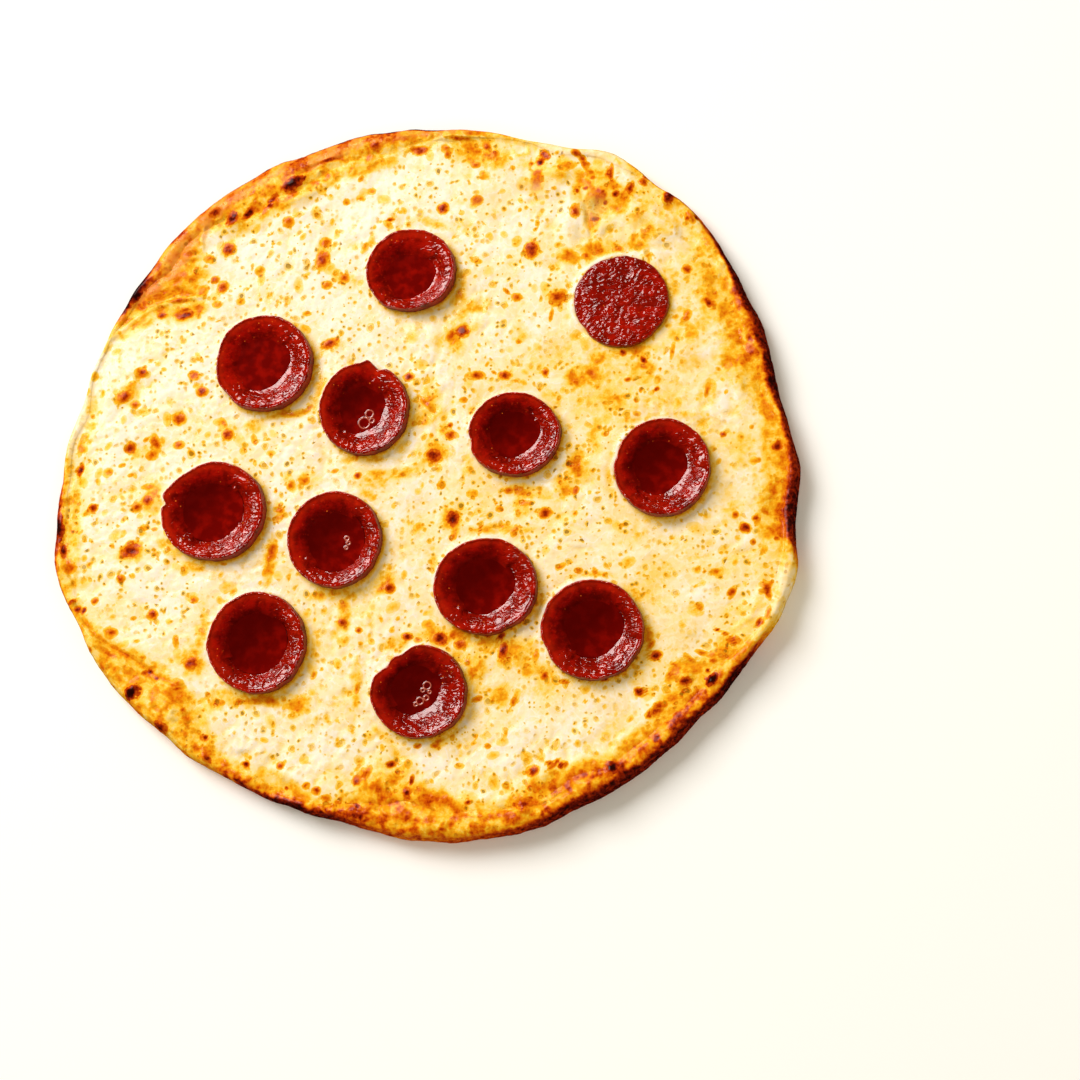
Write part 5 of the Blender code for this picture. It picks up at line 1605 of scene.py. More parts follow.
@dataclass(frozen=True)
class BakedFinish(Finish):
    """Cheese or dough: oven colours, oil stains, painted shade in hollows, pits of two sizes, fine
    melted folds.

    Attributes:
        grain: how uneven the browning is.
        pit: colour in the pits.
        deep_pit: colour in the darkest pits.
        pitting: how much of the pits' colour shows.
        folds: height of the fine folds in mm.
        stain: toast added in the oil stains.
        strand_glint: toast taken off on thin pale ridges, partly pale strands and partly a painted
            highlight on the folds' crests.
        halo: toast added round the pits.
        tan: colour of the painted shade in the tan hollows.
        rosy: colour of rosy bare dough.
    """

    grain: float = 1.0
    pit: Colour = (0.76, 0.36, 0.010)
    deep_pit: Colour = (0.26, 0.11, 0.004)
    pitting: float = 0.75
    folds: float = 0.4
    stain: float = 0.13
    strand_glint: float = 0.05
    halo: float = 0.17
    tan: Colour = (0.56, 0.40, 0.16)
    rosy: Colour = (0.76, 0.225, 0.035)

    def build(self, browning: bpy.types.NodeTree, pores: bpy.types.NodeTree) -> bpy.types.Material:
        """Put the finish together.

        Args:
            browning: the shared oven colours.
            pores: the shared pits.

        Returns:
            The finished material.
        """
        material, shader, principled = self.start()
        spot = shader.place()
        toast = shader.mask("toast")
        # Stains: broken patches of yellow oil; strands: thin pale ridges of melted cheese,
        # partly a painted highlight on the crests of the fine folds.
        clump = shader.noise(spot, 300.0, 2.0)
        stain = shader.fit(shader.noise(spot, 330.0, 4.0, 0.6), 0.54, 0.68, 0.0, self.stain)
        ridge = shader.maths("ABSOLUTE", shader.less(shader.noise(spot, 200.0, 2.0), 0.5))
        strand_glint = shader.fit(ridge, 0.0, 0.05, self.strand_glint, 0.0)
        toast = shader.plus(toast, shader.less(stain, strand_glint))
        # Blisters: a crisp body with a darker core and a thin golden border.
        shiver = shader.less(shader.noise(spot, 900.0, 2.0), 0.5)
        blister = shader.maths("MULTIPLY_ADD", shiver, 0.5, shader.mask("blister"))
        scorch = shader.mask("scorch")
        body = shader.plus(shader.fit(blister, 0.82, 1.05, 0.0, 0.72),
                           shader.fit(blister, 1.05, 1.75, 0.0, 0.28))
        glow = shader.times(shader.fit(blister, 0.40, 0.85, 0.0, 0.62),
                            shader.maths("MINIMUM", scorch, 0.6))
        toast = shader.most(toast, shader.most(glow, shader.times(body, scorch)))
        # Pits, in broken patches and only where the bake is light.
        pitted = shader.fit(shader.noise(spot, 42.0, 2.0), 0.36, 0.58, 0.3, 1.0)
        pitted = shader.times(pitted, shader.fit(toast, 0.36, 0.56, 1.0, 0.0))
        heights = []
        core = 0.0
        tint = 0.0
        for scale, gain, less in ((270.0, 0.90, 0.62), (480.0, 1.05, 0.72)):
            pits = shader.node("ShaderNodeGroup", node_tree=pores)
            for socket, value in (("Scale", scale), ("Gain", gain), ("Less", less)):
                shader.feed(pits, socket, value)
            halo = shader.times(pits.outputs["Halo"], pitted)
            toast = shader.plus(toast, shader.times(halo, self.halo))
            hole = shader.times(pits.outputs["Holes"], pitted)
            core = shader.most(core, hole)
            tint = shader.maths("MULTIPLY_ADD", hole, pits.outputs["Tint"], tint)
            heights.append(shader.times(pits.outputs["Height"], pitted))
        baked = shader.node("ShaderNodeGroup", node_tree=browning)
        shader.feed(baked, "Heat", shader.most(toast, 0.0))
        shader.feed(baked, "Grain", self.grain)
        # Painted shade: the hollows are tinted towards tan.
        colour = shader.blend(shader.times(shader.mask("shade"), 0.5), baked.outputs["Colour"],
                              self.tan)
        rosy = shader.times(shader.mask("rosy"), shader.fit(toast, 0.50, 0.62, 0.75, 0.0))
        colour = shader.blend(rosy, colour, self.rosy)
        bottom = shader.blend(shader.fit(tint, 0.45, 0.8), self.pit, self.deep_pit)
        colour = shader.blend(shader.times(core, self.pitting), colour, bottom)
        shader.feed(principled, "Base Color", colour)
        rough = shader.fit(shader.noise(spot, 260.0, 3.0, 0.6), 0.3, 0.75, self.roughness - 0.05,
                           self.roughness + 0.10)
        shader.feed(principled, "Roughness", rough)
        normal = shader.bump(shader.plus(heights[0], heights[1]), 0.0004, 0.6)
        folds = shader.less(shader.times(clump, -0.8), ridge)
        normal = shader.bump(folds, self.folds * MM, 0.7, normal)
        shader.feed(principled, "Normal", normal)
        shader.feed(principled, "Coat Weight", shader.times(shader.mask("oily"), 0.35))
        return material


@dataclass(frozen=True)
class MeatFinish(Finish):
    """Cured ground meat: deep red with lighter flecks and oil on top.

    Attributes:
        red: colour of its lighter patches.
        dark: colour of its darker patches.
        light: colour of its flecks, and of the painted light on the cup's lip and shelf.
        fat: colour of its specks of fat.
        deep: colour of painted shade, deep in the cup and on the side nearer the lamp.
    """

    red: Colour = (0.37, 0.004, 0.001)
    dark: Colour = (0.13, 0.0010, 0.0005)
    light: Colour = (0.58, 0.022, 0.003)
    fat: Colour = (0.82, 0.16, 0.015)
    deep: Colour = (0.06, 0.0006, 0.0003)

    def build(self) -> bpy.types.Material:
        """Put the finish together.

        Returns:
            The finished material.
        """
        material, shader, principled = self.start()
        spot = shader.place()
        mottle = shader.fit(shader.noise(spot, 260.0, 4.0, 0.62), 0.34, 0.66)
        colour = shader.blend(mottle, self.dark, self.red)
        fleck = shader.fit(shader.noise(spot, 700.0, 2.0), 0.60, 0.74, 0.0, 0.6)
        colour = shader.blend(fleck, colour, self.light)
        # Painted light: lighter red where the lip and the shelf face the lamp.
        colour = shader.blend(shader.times(shader.mask("lip"), 0.65), colour, self.light)
        # Painted shade: darker deep in the cup and on the side nearer the lamp.
        colour = shader.blend(shader.mask("deep"), colour, self.deep)
        fat = shader.dots(spot, 520.0, 0.26)
        colour = shader.blend(shader.times(fat, 0.8), colour, self.fat)
        shader.feed(principled, "Base Color", colour)
        wet = shader.fit(shader.noise(spot, 500.0, 3.0, 0.6), 0.3, 0.7, 0.05, 0.10)
        dull = shader.times(shader.mask("dull"), 0.5)
        shader.feed(principled, "Roughness", shader.plus(wet, dull))
        # Wrinkles: curved creases, drawn out towards the upper right.
        bent = shader.warp(spot, spot, 230.0, 2.0, 0.0035)
        drawn = shader.node("ShaderNodeMapping", {
            "Vector": bent, "Rotation": (0.0, 0.0, -0.25 * math.pi), "Scale": (0.42, 1.0, 1.0),
        })
        worm = shader.noise(drawn.outputs[0], 560.0, 1.0)
        crease = shader.fit(shader.maths("ABSOLUTE", shader.less(worm, 0.5)), 0.0, 0.13)
        quiet = shader.less(1.0, shader.times(shader.mask("calm"), 0.95))
        shader.feed(principled, "Normal", shader.bump(shader.times(crease, quiet), 0.00026, 1.0))
        return material


@dataclass(frozen=True)
class OilFinish(Finish):
    """Dark red rendered oil, very glossy.

    Attributes:
        colour: its usual colour.
        light: colour of its lighter clouds.
        deep: colour in the cup's shadow.
        bubble_glint: colour of the painted highlight ring round each bubble.
    """

    colour: Colour = (0.14, 0.0012, 0.0004)
    light: Colour = (0.32, 0.004, 0.001)
    deep: Colour = (0.055, 0.0005, 0.0002)
    bubble_glint: Colour = (0.62, 0.16, 0.10)

    def build(self) -> bpy.types.Material:
        """Put the finish together.

        Returns:
            The finished material.
        """
        material, shader, principled = self.start()
        cloud = shader.fit(shader.noise(shader.place(), 260.0, 3.0), 0.4, 0.7, 0.0, 0.7)
        colour = shader.blend(cloud, self.colour, self.light)
        # Painted shade: darker where the cup's wall shades the pool.
        colour = shader.blend(shader.times(shader.mask("deep"), 0.85), colour, self.deep)
        # Painted highlight: a light ring round each bubble.
        shader.feed(principled, "Base Color", shader.blend(shader.mask("bubble_glint"), colour, self.bubble_glint))
        return material


# ---- pieces ---------------------------------------------------------------------------------
def disc_grid(count: int) -> tuple[np.ndarray, np.ndarray]:
    """Square grid bent to a disc: each square ring becomes a circle, with even spacing.

    Args:
        count: points along a side.

    Returns:
        Share of the radius, and direction in radians, for each point of the grid.
    """
    line = np.linspace(-1.0, 1.0, count)
    across, up = np.meshgrid(line, line)
    wide = np.abs(across) >= np.abs(up)
    safe_across = np.where(across == 0.0, 1.0, across)
    safe_up = np.where(up == 0.0, 1.0, up)
    side = 0.25 * math.pi * up / safe_across + np.where(across < 0.0, math.pi, 0.0)
    cap = 0.5 * math.pi - 0.25 * math.pi * across / safe_up + np.where(up < 0.0, math.pi, 0.0)
    return np.maximum(np.abs(across), np.abs(up)), np.where(wide, side, cap)


def square_border(count: int) -> np.ndarray:
    """Border points of a square grid.

    Args:
        count: points along a side.

    Returns:
        Their numbers, anticlockwise.
    """
    line = np.arange(count)
    south = line[:-1]
    east = line[:-1] * count + count - 1
    north = (count - 1) * count + line[:0:-1]
    west = line[:0:-1] * count
    return np.concatenate([south, east, north, west])


def tan_shade(x: np.ndarray, y: np.ndarray) -> np.ndarray:
    """Hollows with painted tan shade, named by place and broken up by noise."""
    return np.clip(spot_field(x, y, SHADES, 0.4 * Noise(61).layers(x, y, 7.0, 3)), 0.0, 1.0)


def rosy_zone(x: np.ndarray, y: np.ndarray) -> np.ndarray:
    """Where bare dough is baked rosy: a band at the edge, as wide as its table says.

    Args:
        x: places in mm.
        y: places in mm.

    Returns:
        How rosy it is, from 0 to 1.
    """
    degrees = np.degrees(np.arctan2(y, x))
    band = closed_curve(ROSY, degrees)
    inward = dough_radius(degrees) - np.hypot(x, y) + 4.0 * Noise(62).layers(x, y, 5.0, 3)
    patchy = 0.35 + 0.65 * step_up(Noise(63).layers(x, y, 6.0, 3), -0.3, 0.2)
    return patchy * step_up(band - inward, -0.5, 1.5) * step_up(band, 0.5, 2.0)


# Share of the cheese's fine relief on the crust.
SEAM_RELIEF = 0.75
# Top of the crust in section, from the edge inwards: share of its width, share of its height.
CRUST_SHARES = ((0.10, 0.80), (0.26, 0.955), (0.46, 1.0), (0.70, 0.97), (0.90, 0.90))
# Rounded border of the cheese: inset as a share of its width, lift and share of the seam's lip.
BORDER_RINGS = ((0.74, 0.08, 0.50), (0.48, 0.04, 0.36), (0.24, -0.03, 0.16), (0.0, -0.16, -0.1))


def crust_level(x: np.ndarray, y: np.ndarray, radius: np.ndarray,
                degrees: np.ndarray) -> np.ndarray:
    """Height of the crust's top where the cheese ends.

    Args:
        x: places in mm, for the bubbles.
        y: places in mm, for the bubbles.
        radius: radius of the cheese's edge in each place's direction.
        degrees: direction of each place.

    Returns:
        Height in mm.
    """
    outer = dough_radius(degrees)
    inner = cheese_radius(degrees) + 0.3
    across = np.clip((outer - radius) / (outer - inner), 0.0, 1.0)
    shares = [share for share, _ in CRUST_SHARES]
    rises = [rise for _, rise in CRUST_SHARES]
    level = crest_height(degrees) * np.interp(across, [0.0, *shares], [0.55, *rises])
    return level + sum(puff.rise * puff.bell(x, y) for puff in CRUST_PUFFS)


@dataclass
class Cheese:
    """The melted sheet on top, with a seat under each slice.

    Attributes:
        count: points along a side of the grid.
        border: width of the rounded border in mm.
        overlap: how far it laps over the crust in mm.
        feather: width over which it thins towards the crust, in mm.
        foot: height of its flat underside in mm.
        noise: pattern of its edge and its oil.
    """

    count: int = 300
    border: float = 3.0
    overlap: float = 1.9
    feather: float = 9.0
    foot: float = 7.3
    noise: Noise = Noise(5)

    def oily(self, x: np.ndarray, y: np.ndarray) -> np.ndarray:
        """Where clear yellow oil stands: named patches and a halo at each slice.

        Args:
            x: places in mm.
            y: places in mm.

        Returns:
            How oily it is, from 0 to 1.
        """
        oily = spot_field(x, y, OILY, 0.5 * self.noise.layers(x, y + 300.0, 7.0, 3))
        oily *= 0.55 + 0.9 * step_up(self.noise.folds(x, y, 5.0, 2), 0.45, 0.9)
        patchy = 0.30 + 0.55 * self.noise.layers(x, y, 8.0, 2)
        for plan in SLICES:
            oily = np.maximum(oily, bell(plan.share(x, y) - 1.03, 0.12) * patchy)
        return np.clip(oily, 0.0, 1.0)

    def stain(self, x: np.ndarray, y: np.ndarray, toast: np.ndarray,
              scorch: np.ndarray) -> tuple[np.ndarray, np.ndarray]:
        """Stain and painted shadow in a line beyond each slice, a painted lit ring on its lamp
        side.

        Args:
            x: places in mm.
            y: places in mm.
            toast: toast of the sheet.
            scorch: toast of its blisters.

        Returns:
            The new toast and the new scorch.
        """
        for plan in SLICES:
            away = plan.share(x, y)
            lee = plan.lee(x, y)
            # Painted shadow with the stain: stronger on the far side from the lamp.
            stain_and_shadow = bell(away - 1.03, 0.04 + 0.03 * lee)
            toast = np.maximum(toast, stain_and_shadow * (0.08 + 0.30 * lee))
            # Painted light: paler cheese without blisters on the side towards the lamp.
            lit_ring = bell(away - 1.06, 0.06) * np.clip(1.2 - 1.8 * lee, 0.0, 1.0)
            toast = toast * (1.0 - lit_ring)
            scorch = scorch * (1.0 - lit_ring)
        return toast, scorch

    def seat(self, x: np.ndarray, y: np.ndarray, natural: np.ndarray) -> np.ndarray:
        """Sink the sheet under each slice, with a raised bead round it.

        Args:
            x: places in mm.
            y: places in mm.
            natural: height of the sheet without the slices, in mm.

        Returns:
            Height in mm.
        """
        height = natural.copy()
        for plan in SLICES:
            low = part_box(plan.node)[0][2] / MM - 0.3
            away = plan.share(x, y)
            windward = 1.0 - plan.lee(x, y)
            bead = (0.45 + 0.60 * windward) * bell(away - 1.04, 0.045 + 0.03 * windward)
            up = step_up(away, 0.85, 0.965)
            height = np.where(away < 1.5, low + (natural + bead - low) * up, height)
        return height

    def skirt(self, turn: np.ndarray, edge: np.ndarray, lip: np.ndarray) -> np.ndarray:
        """Rounded border, a foot tucked under it and the border of the flat underside.

        Args:
            turn: direction of each border point in radians.
            edge: radius of the sheet's edge there in mm.
            lip: how much of a lip it ends in there.

        Returns:
            Points in mm, ring after ring.
        """
        rings = []
        for inset, lift, lipped in BORDER_RINGS:
            radius = edge - inset * self.border
            x = radius * np.cos(turn)
            y = radius * np.sin(turn)
            level = crust_level(x, y, radius, np.degrees(turn))
            level += SEAM_RELIEF * BAKE.relief(x, y) + ring_field(x, y)[0] + lift + lipped * lip
            rings.append(np.stack([x, y, level], axis=1))
        foot = rings[-1] * np.array([0.997, 0.997, 1.0]) - np.array([0.0, 0.0, 0.8])
        flat = np.stack([foot[:, 0], foot[:, 1], np.full_like(turn, self.foot)], axis=1)
        return np.concatenate([*rings, foot, flat])

    def build(self, material: bpy.types.Material) -> None:
        """Make the sheet: a bent grid on top, a rounded border and a flat underside.

        Args:
            material: its finish.
        """
        share, turn = disc_grid(self.count)
        degrees = np.degrees(turn)
        wander = 0.9 * self.noise.smooth(degrees / 2.9, np.zeros_like(degrees))
        edge = cheese_radius(degrees) + self.overlap + wander
        reach = share * (edge - self.border)
        x = reach * np.cos(turn)
        y = reach * np.sin(turn)
        dough = dough_radius(degrees)
        toast = BAKE.toast(x, y, dough)
        blister, scorch = BAKE.blisters(x, y)
        oily = self.oily(x, y)
        toast = np.maximum(toast, 0.34 * oily)
        # Stain and painted shadow beyond the slices, painted light on their lamp side.
        toast, scorch = self.stain(x, y, toast, scorch)
        rise, _, _ = ring_field(x, y)
        risen = 0.15 * step_up(blister, 0.8, 1.4) * step_up(scorch, 0.5, 0.6)
        relief = BAKE.relief(x, y) + rise + risen - 0.7 * tan_shade(x, y)
        natural = melted_height(x, y) + relief
        # Towards the crust the sheet thins to a flush edge, or to a rounded step.
        lip = closed_curve(SEAM_LIP, degrees)
        seam = crust_level(x, y, reach, degrees) + 0.10 + 0.55 * lip
        seam += SEAM_RELIEF * relief + (1.0 - SEAM_RELIEF) * rise
        thin = step_up(reach, edge - self.feather, edge - self.border)
        height = self.seat(x, y, natural + (seam - natural) * thin)
        top = np.stack([x, y, height], axis=-1).reshape(-1, 3)

        rim = square_border(self.count)
        skirt = self.skirt(turn.ravel()[rim], edge.ravel()[rim], lip.ravel()[rim])
        numbers = [rim, *(len(top) + np.arange(len(skirt)).reshape(-1, len(rim)))]
        bands = [np.stack([upper, lower, np.roll(lower, -1), np.roll(upper, -1)], axis=1)
                 for upper, lower in zip(numbers, numbers[1:])]
        faces = [lattice_faces(self.count, self.count, False), *bands, numbers[-1][::-1][None, :]]
        skirt_x, skirt_y, _ = skirt.T
        skirt_dough = dough_radius(np.degrees(np.arctan2(skirt_y, skirt_x)))
        skirt_blister, skirt_scorch = BAKE.blisters(skirt_x, skirt_y)
        both = {
            "toast": (toast, BAKE.toast(skirt_x, skirt_y, skirt_dough)),
            "blister": (blister, skirt_blister),
            "scorch": (scorch, skirt_scorch),
            "rosy": (rosy_zone(x, y), rosy_zone(skirt_x, skirt_y)),
            "oily": (oily, np.full_like(skirt_x, 0.2)),
            "shade": (tan_shade(x, y), np.zeros_like(skirt_x)),
        }
        masks = {name: np.concatenate([sheet.ravel(), side])
                 for name, (sheet, side) in both.items()}
        points = np.concatenate([top, skirt])
        place(put_mesh("melted_cheese", points, faces, masks), material, "cheese", "cheese")


@dataclass
class Crust:
    """The dough: flat underside, rounded side and blistered rim.

    Attributes:
        columns: points round the bread.
        noise: pattern of its relief.
        spans: rows to each span of the section.
    """

    columns: int = 1440
    noise: Noise = Noise(23)
    # Rows are closest together where the crust shows.
    spans: tuple[int, ...] = (1, 1, 3, 8, 9, 8, 8, 7, 6, 5, 3, 2, 1)

    def section(self, degrees: np.ndarray) -> tuple[np.ndarray, np.ndarray]:
        """Radius and height of the section's knots in each direction.

        Args:
            degrees: directions round the bread.

        Returns:
            Radii and heights, one row for each knot.
        """
        outer = dough_radius(degrees)
        inner = cheese_radius(degrees) + 0.3
        crest = crest_height(degrees)
        width = outer - inner
        flat = np.zeros_like(outer)
        radii = [flat, 0.5 * outer, outer - UNDERSIDE_INSET, outer - 0.32 * UNDERSIDE_INSET, outer]
        heights = [flat, flat, flat, flat + 1.1, flat + BULGE_HEIGHT]
        for across, up in CRUST_SHARES:
            radii.append(outer - across * width)
            heights.append(crest * up)
        radii += [inner - 3.0, inner - 6.5, 0.5 * inner, flat]
        heights += [0.80 * crest, *3 * [flat + BREAD_TABLE]]
        return np.stack(radii), np.stack(heights)

    def build(self, material: bpy.types.Material) -> None:
        """Make the dough from its section carried round the edge.

        Args:
            material: its finish.
        """
        degrees = np.arange(self.columns) * 360.0 / self.columns
        radii, heights = self.section(degrees)
        places = [start + np.arange(span) / span for start, span in enumerate(self.spans)]
        places = np.append(np.concatenate(places), len(self.spans))
        radius = np.maximum(through_rows(radii, places), 0.02)
        height = np.maximum(through_rows(heights, places), 0.0)
        turn = np.radians(degrees)[None, :]
        x = radius * np.cos(turn)
        y = radius * np.sin(turn)
        rim = step_up(places, 2.6, 4.0)[:, None] * (1.0 - step_up(places, 9.0, 9.9)[:, None])
        top = step_up(places, 4.4, 5.6)[:, None] * rim
        rise = sum(puff.rise * puff.bell(x, y) for puff in CRUST_PUFFS)
        rings, _, _ = ring_field(x, y)
        height = height + top * (rise + rings + SEAM_RELIEF * BAKE.relief(x, y))
        side = rim * (1.0 - step_up(places, 4.6, 5.6)[:, None])
        around = np.broadcast_to(degrees * 2.4, x.shape)
        swell = 0.35 * self.noise.layers(around, height, 7.0, 3)
        swell += 0.15 * self.noise.layers(around, height, 2.4, 2)
        radius = radius + side * swell
        x = radius * np.cos(turn)
        y = radius * np.sin(turn)

        toast = BAKE.toast(x, y, np.broadcast_to(dough_radius(degrees), x.shape))
        blister, scorch = BAKE.blisters(x, y)
        above = step_up(places, 3.9, 4.5)[:, None]
        wall = closed_curve(EDGE_TOAST, degrees)[None, :]
        wall = wall * (0.94 + 0.10 * self.noise.layers(around, height, 5.0, 3))
        toast = toast + (wall - toast) * (1.0 - above)
        below = 1.0 - step_up(places, 2.4, 3.4)[:, None]
        under = 0.52 + 0.16 * self.noise.layers(x, y, 22.0, 4)
        under += 0.08 * self.noise.layers(x, y, 5.0, 2)
        toast = np.clip(toast * (1.0 - below) + under * below, 0.0, 1.0)

        points, faces = close_rows(x, y, height, [(0.0, 0.0, 0.0), (0.0, 0.0, BREAD_TABLE)])
        masks = {
            "toast": close_mask(toast, 0.5, 0.3),
            "blister": close_mask(blister, 0.0, 0.0),
            "scorch": close_mask(scorch * above, 0.0, 0.0),
            "rosy": close_mask(rosy_zone(x, y), 0.0, 0.0),
            "oily": close_mask(np.broadcast_to(0.2 * top, x.shape), 0.0, 0.0),
            "shade": close_mask(tan_shade(x, y), 0.0, 0.0),
        }
        item = put_mesh("baked_dough", points, faces, masks)
        place(item, material, "bread", "bread")


@dataclass
class Slice:
    """One slice of sausage with its oil.

    Attributes:
        plan: where it lies and how its rim runs.
        columns: points round the slice.
        finer: rows to each span of the section.
    """

    plan: SlicePlan
    columns: int = 300
    finer: int = 7

    def surface(self) -> tuple[np.ndarray, np.ndarray, np.ndarray, dict[str, np.ndarray]]:
        """Section carried round the slice, then roughened.

        Returns:
            x, y and height of each point in mm, and four masks from 0 to 1: painted shade deep in
            the cup and on the side nearer the lamp, how smooth it is, a lighter red that on a cup
            is painted light on its lip and shelf, and how dull its side is.
        """
        plan = self.plan
        noise = Noise(40 + plan.number)
        flat = plan.kind is Kind.FLAT
        section = FLAT_SECTION if flat else CUP_SECTION
        tall = FLAT_HEIGHT if flat else CUP_HEIGHT
        places = np.arange((len(section) - 1) * self.finer + 1) / self.finer
        curve = through_rows(section, places)
        share, up = (np.clip(curve[:, column], 0.0, 1.02)[:, None] for column in (0, 1))
        drift = curve[:, 2][:, None]
        degrees = np.arange(self.columns) * 360.0 / self.columns
        turn = np.radians(degrees)[None, :]
        outline = plan.outline(degrees)
        # Three waves of noise, read along ever larger circles.
        for size, middle, reach in ((0.35, 2.0, 1.8), (0.18, 9.0, 5.0), (0.10, 20.0, 13.0)):
            across = middle + reach * np.cos(turn[0])
            outline = outline + size * noise.smooth(across, middle + reach * np.sin(turn[0]))
        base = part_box(plan.node)[0][2] / MM
        radius = 1.012 * share * outline[None, :]
        x = plan.x + radius * np.cos(turn) + drift * plan.drift[0]
        y = plan.y + radius * np.sin(turn) + drift * plan.drift[1]
        height = base + up * tall - plan.lip_drop(degrees)[None, :] * up ** 2
        upper = step_up(places, 3.0, 5.0)[:, None]
        edge = 3.5 if flat else 6.5
        inside = step_up(places, edge, edge + 1.5)[:, None]
        outer = step_up(share, 0.84, 0.93)
        # The side of the cup that faces the light is busier and rises from a sloping shelf.
        lee = np.broadcast_to(away_from_lamp(turn), x.shape)
        busy = 1.0 if flat else 0.18 + 0.82 * step_up(lee, 0.30, 0.75)
        if not flat:
            foot = plan.pool - 0.02
            planar = SHELF_TURN * share * (2.0 - 2.0 * lee)
            ramp = height[-1, 0] + 0.5 + (share - foot - planar) * outline[None, :] * SHELF_SLOPE
            here = step_up(share, foot - 0.04, foot + 0.02) * inside
            here = here * (1.0 - step_up(share, 0.62, 0.80))
            patchy = step_up(lee + 0.25 * noise.layers(x, y + 33.0, 4.5, 2), 0.45, 0.65)
            height = height + (np.minimum(ramp, height) - height) * here * patchy
        still = 1.0 if flat else 1.0 - 0.85 * step_up(0.66 - share, -0.04, 0.10)
        bend_x = x + 1.6 * noise.layers(x, y + 80.0, 6.0, 1)
        bend_y = y + 1.6 * noise.layers(x - 60.0, y, 6.0, 1)
        drawn = (bend_x + bend_y) * math.sqrt(0.5) / 2.6
        grind = noise.folds(drawn, (bend_y - bend_x) * math.sqrt(0.5), 2.2, 2) - 0.55
        lumps = noise.layers(x + 50.0, y, 5.5, 2)
        ground = 0.42 if flat else 0.50 * (1.0 - 0.7 * outer)
        relief = ground * busy * grind + 0.35 * lumps
        height = height + inside * still * relief + upper * (1.0 - inside) * 0.25 * lumps
        side = step_up(places, 1.5, 3.0)[:, None] * (1.0 - upper)
        around = np.broadcast_to(turn * outline / 1.5, x.shape)
        swell = side * 0.25 * noise.layers(around, height, 3.0, 2)
        x = x + swell * np.cos(turn)
        y = y + swell * np.sin(turn)
        if flat:
            # Painted shade, darker on the half towards the lamp.
            deep = 0.30 * (1.0 - lee) * inside
            lip = np.broadcast_to(0.25 * inside, x.shape)
            quiet = 0.35 * (1.0 - lee) * step_up(share, 0.35, 0.75)
        else:
            # Painted shade deep in the cup, most on the wall nearer the lamp, more by the slice's
            # gloom.
            dim = step_up(0.95 - share, 0.10, 0.45) * (0.16 + 0.60 * (1.0 - lee))
            deep = np.clip(dim + 0.4 * plan.gloom, 0.0, 1.0) * inside
            # Painted light: lighter red on the lip nearer the lamp and on the far shelf that faces
            # it.
            lip = bell(share - 0.93, 0.09) * upper * (1.0 - 0.85 * lee)
            lip = lip + 0.45 * lee * inside * step_up(share, 0.45, 0.55) * (1.0 - outer)
            lip = np.clip(lip * (0.8 + 0.6 * lumps), 0.0, 1.0)
            quiet = outer
        calm = np.clip(1.0 - busy * still * (1.0 - quiet), 0.0, 1.0) * inside
        dull = 1.0 - step_up(places, edge - 1.5, edge - 0.5)[:, None]
        fields = {"deep": deep, "calm": calm, "lip": lip, "dull": dull}
        masks = {name: np.broadcast_to(field, x.shape) for name, field in fields.items()}
        return x, y, height, masks

    def build(self, meat: bpy.types.Material, oil: bpy.types.Material) -> None:
        """Make the slice and, in a cup, its oil.

        Args:
            meat: finish of the slice.
            oil: finish of the oil.
        """
        plan = self.plan
        x, y, height, fields = self.surface()
        tips = [(x[0].mean(), y[0].mean(), height[0].mean()),
                (x[-1].mean(), y[-1].mean(), height[-2].mean())]
        points, faces = close_rows(x, y, height, tips)
        under = {"deep": 0.0, "calm": 1.0, "lip": 0.0, "dull": 1.0}
        masks = {name: close_mask(field, under[name], field[-1].mean())
                 for name, field in fields.items()}
        item = put_mesh(f"slice_{plan.number:02d}", points, faces, masks)
        place(item, meat, "sausage", plan.node)
        if plan.kind is Kind.CUP:
            self.build_oil(oil)

    def build_oil(self, oil: bpy.types.Material, count: int = 121) -> None:
        """Make the pool: a level disc with its bubbles, whose edge is hidden in the cup's wall.

        Args:
            oil: its finish.
            count: points along a side of its grid.
        """
        plan = self.plan
        share, turn = disc_grid(count)
        middle_x = plan.x + plan.drift[0]
        middle_y = plan.y + plan.drift[1]
        reach = share * (plan.pool + 0.14) * plan.outline(np.degrees(turn))
        x = middle_x + reach * np.cos(turn)
        y = middle_y + reach * np.sin(turn)
        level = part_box(plan.oil_node)[1][2] / MM
        top = level - 0.15 + 0.03 * Noise(70 + plan.number).smooth(x / 4.0, y / 4.0)
        bubble_glint = np.zeros_like(top)
        for bubble_x, bubble_y, radius in plan.bubbles:
            away = np.hypot(x - middle_x - bubble_x, y - middle_y - bubble_y) - radius
            top = top + 0.24 * bell(away, 0.22) + 0.10 * (1.0 - step_up(away, -0.6, 0.0))
            # Painted highlight ring round each bubble.
            bubble_glint = np.maximum(bubble_glint, bell(away, 0.16))
        upper = np.stack([x, y, top], axis=-1).reshape(-1, 3)
        lower = upper.copy()
        lower[:, 2] = level - 0.8
        rim = square_border(count)
        below = rim + len(upper)
        wall = np.stack([rim, below, np.roll(below, -1), np.roll(rim, -1)], axis=1)
        band = lattice_faces(count, count, False)
        faces = [band, (band + len(upper))[:, ::-1], wall]
        # Painted shade: darker towards the upper left, in the cup wall's shadow, and by the
        # slice's gloom.
        dim = np.clip(0.5 + plan.gloom - 0.9 * share * np.cos(turn + 0.25 * math.pi), 0.0, 1.0)
        masks = {
            "bubble_glint": np.concatenate([bubble_glint.ravel(), np.zeros(len(lower))]),
            "deep": np.concatenate([dim.ravel(), np.ones(len(lower))]),
        }
        points = np.concatenate([upper, lower])
        item = put_mesh(f"oil_pool_{plan.number:02d}", points, faces, masks)
        place(item, oil, "oil", plan.oil_node)


